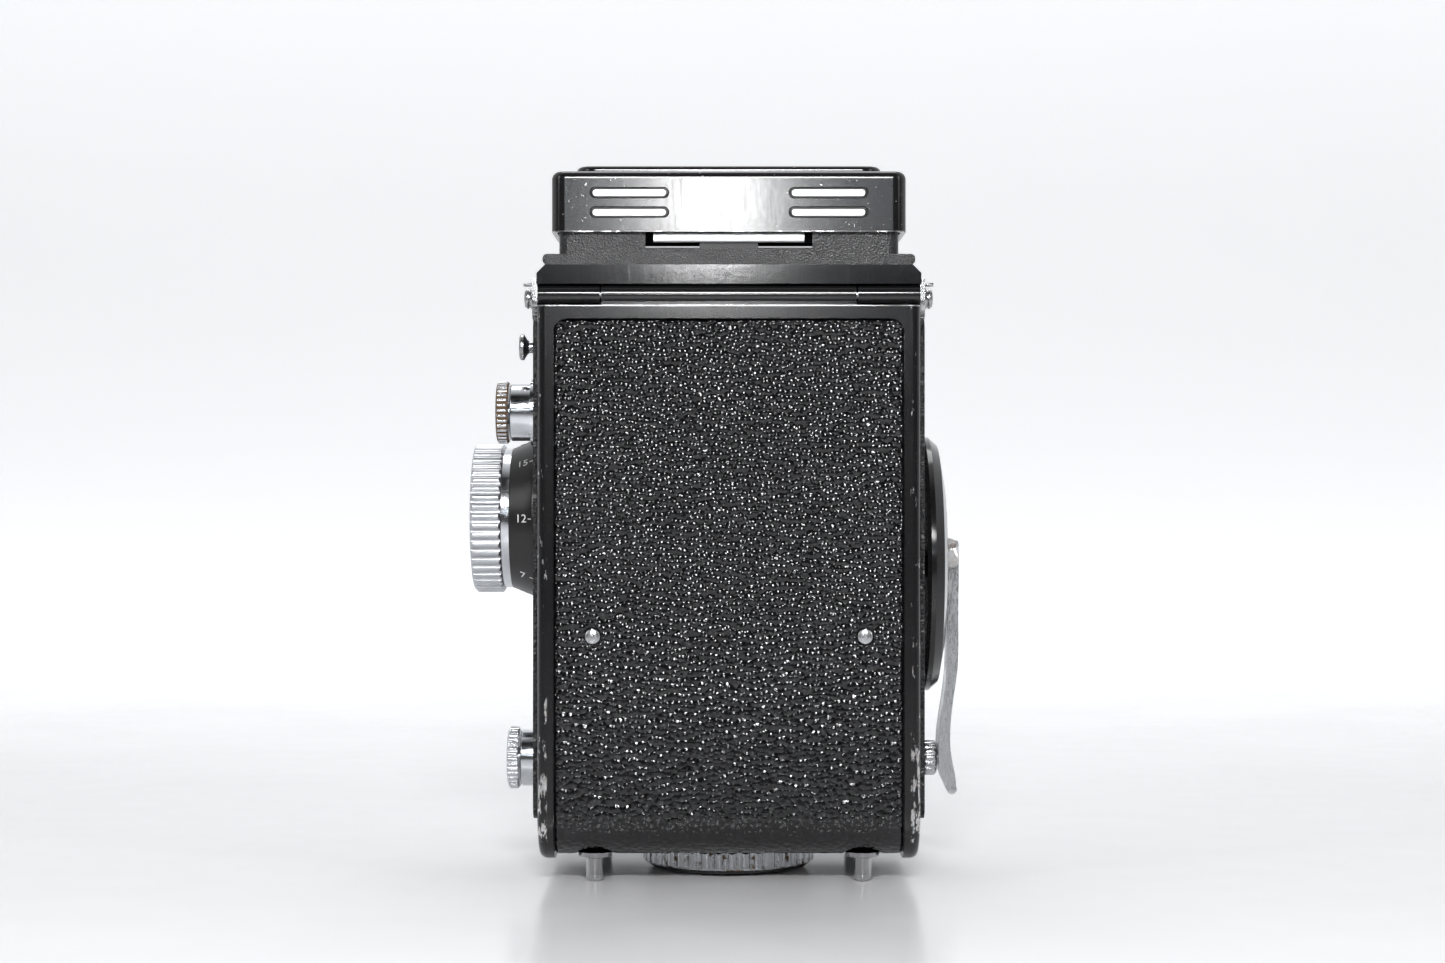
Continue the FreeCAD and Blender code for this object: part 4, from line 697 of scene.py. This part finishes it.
def sweep(material, floor_z):
    """Floor that turns up into a backdrop on the far side."""
    half_w, near, far, turn_r, top = 1.6, 1.4, -0.9, 0.6, 1.6
    profile = [(near, floor_z), (far, floor_z)]
    for step in range(1, 17):
        angle = math.pi / 2 * step / 16
        profile.append((far - turn_r * math.sin(angle), floor_z + turn_r * (1 - math.cos(angle))))
    profile.append((far - turn_r, top))
    places = [(side * half_w, y, z) for y, z in profile for side in (-1, 1)]
    faces = [(2 * i, 2 * i + 1, 2 * i + 3, 2 * i + 2) for i in range(len(profile) - 1)]
    return mesh_object("studio_sweep", places, faces, material)


def studio():
    """Pale glossy floor, painted dark grey towards the viewer as painted shade, a floor and backdrop that
    glow as painted light, pale surroundings, one window of light over the viewer and side fill.
    """
    f = Finish("studio_floor")
    haze = f.noise(60.0, 2.0)
    pale = f.mix(haze, (0.81, 0.81, 0.825), (0.84, 0.84, 0.85))
    # painted shade: the floor's colour turns dark grey towards the viewer, past y 0.16 m
    f.set(Base_Color=f.mix(f.band(f.part("Y"), 0.16, 0.5), pale, (0.3, 0.3, 0.31)),
          Roughness=f.band(haze, 0.3, 0.7, 0.16, 0.24), Specular_IOR_Level=0.35)
    # painted light: the floor and backdrop glow, most on the far side and more up the backdrop
    far = f.math("MULTIPLY", f.band(f.part("Y"), 0.05, -1.15), 0.58)
    painted_glow_strength = f.math("ADD", far, f.band(f.part("Z"), 0.05, 0.6, 0.0, 0.16))
    f.set(Emission_Color=(0.96, 0.98, 1.0), Emission_Strength=painted_glow_strength)
    floor = sweep(f.material, BOX_OF_CAD[0].z)
    middle = (0.0, 0.0, 0.08)
    window = emitter("window_light", (0.006, 0.62, 0.200), (0.0, 0.0, 0.13), 0.036, 0.040, 0.40)
    glow = emitter("glow_light", (0.0, 0.64, 0.205), (0.0, 0.0, 0.13), 0.20, 0.045, 0.06, (0.8, 0.9, 1.0))
    key = emitter("key_light", (0.0, 0.62, 0.38), (0.0, 0.0, 0.13), 0.16, 0.09, 3.0)
    top = emitter("top_light", (0.0, -0.35, 0.80), middle, 0.4, 0.3, 1.5)
    left = emitter("left_light", (0.62, 0.42, 0.42), middle, 0.12, 0.4, 0.8)
    right = emitter("right_light", (-0.62, 0.42, 0.42), middle, 0.12, 0.4, 0.8)
    world = bpy.data.worlds.new("pale_room")
    world.use_nodes = True
    nodes, links = world.node_tree.nodes, world.node_tree.links
    way = nodes.new("ShaderNodeTexCoord")
    split = nodes.new("ShaderNodeSeparateXYZ")
    shade = nodes.new("ShaderNodeMapRange")
    links.new(way.outputs["Generated"], split.inputs[0])
    links.new(split.outputs[1], shade.inputs[0])
    for socket, value in zip(list(shade.inputs)[1:5], (-0.1, 0.35, 0.8, 0.015)):
        socket.default_value = value
    links.new(shade.outputs[0], nodes["Background"].inputs[1])
    nodes["Background"].inputs[0].default_value = (0.97, 0.98, 1.0, 1.0)
    bpy.context.scene.world = world
    bpy.context.scene.view_settings.view_transform = "Standard"


def viewpoint():
    """The camera behind the film door, level, a little under the top of the leather."""
    lens = bpy.data.cameras.new("viewpoint")
    lens.sensor_width = SENSOR_MM
    lens.lens = LENS_MM
    lens.clip_start, lens.clip_end = 0.01, 10.0
    obj = bpy.data.objects.new("viewpoint", lens)
    obj.location = CAMERA_PLACE
    obj.rotation_euler = (math.pi / 2, 0.0, math.pi)
    bpy.context.scene.collection.objects.link(obj)
    bpy.context.scene.camera = obj


finish_all()
sheet = grained_door_leather(leather_finish())
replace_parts(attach(sheet, "back_door"), "back_leather")
scale_figures(white_fill())
studio()
viewpoint()
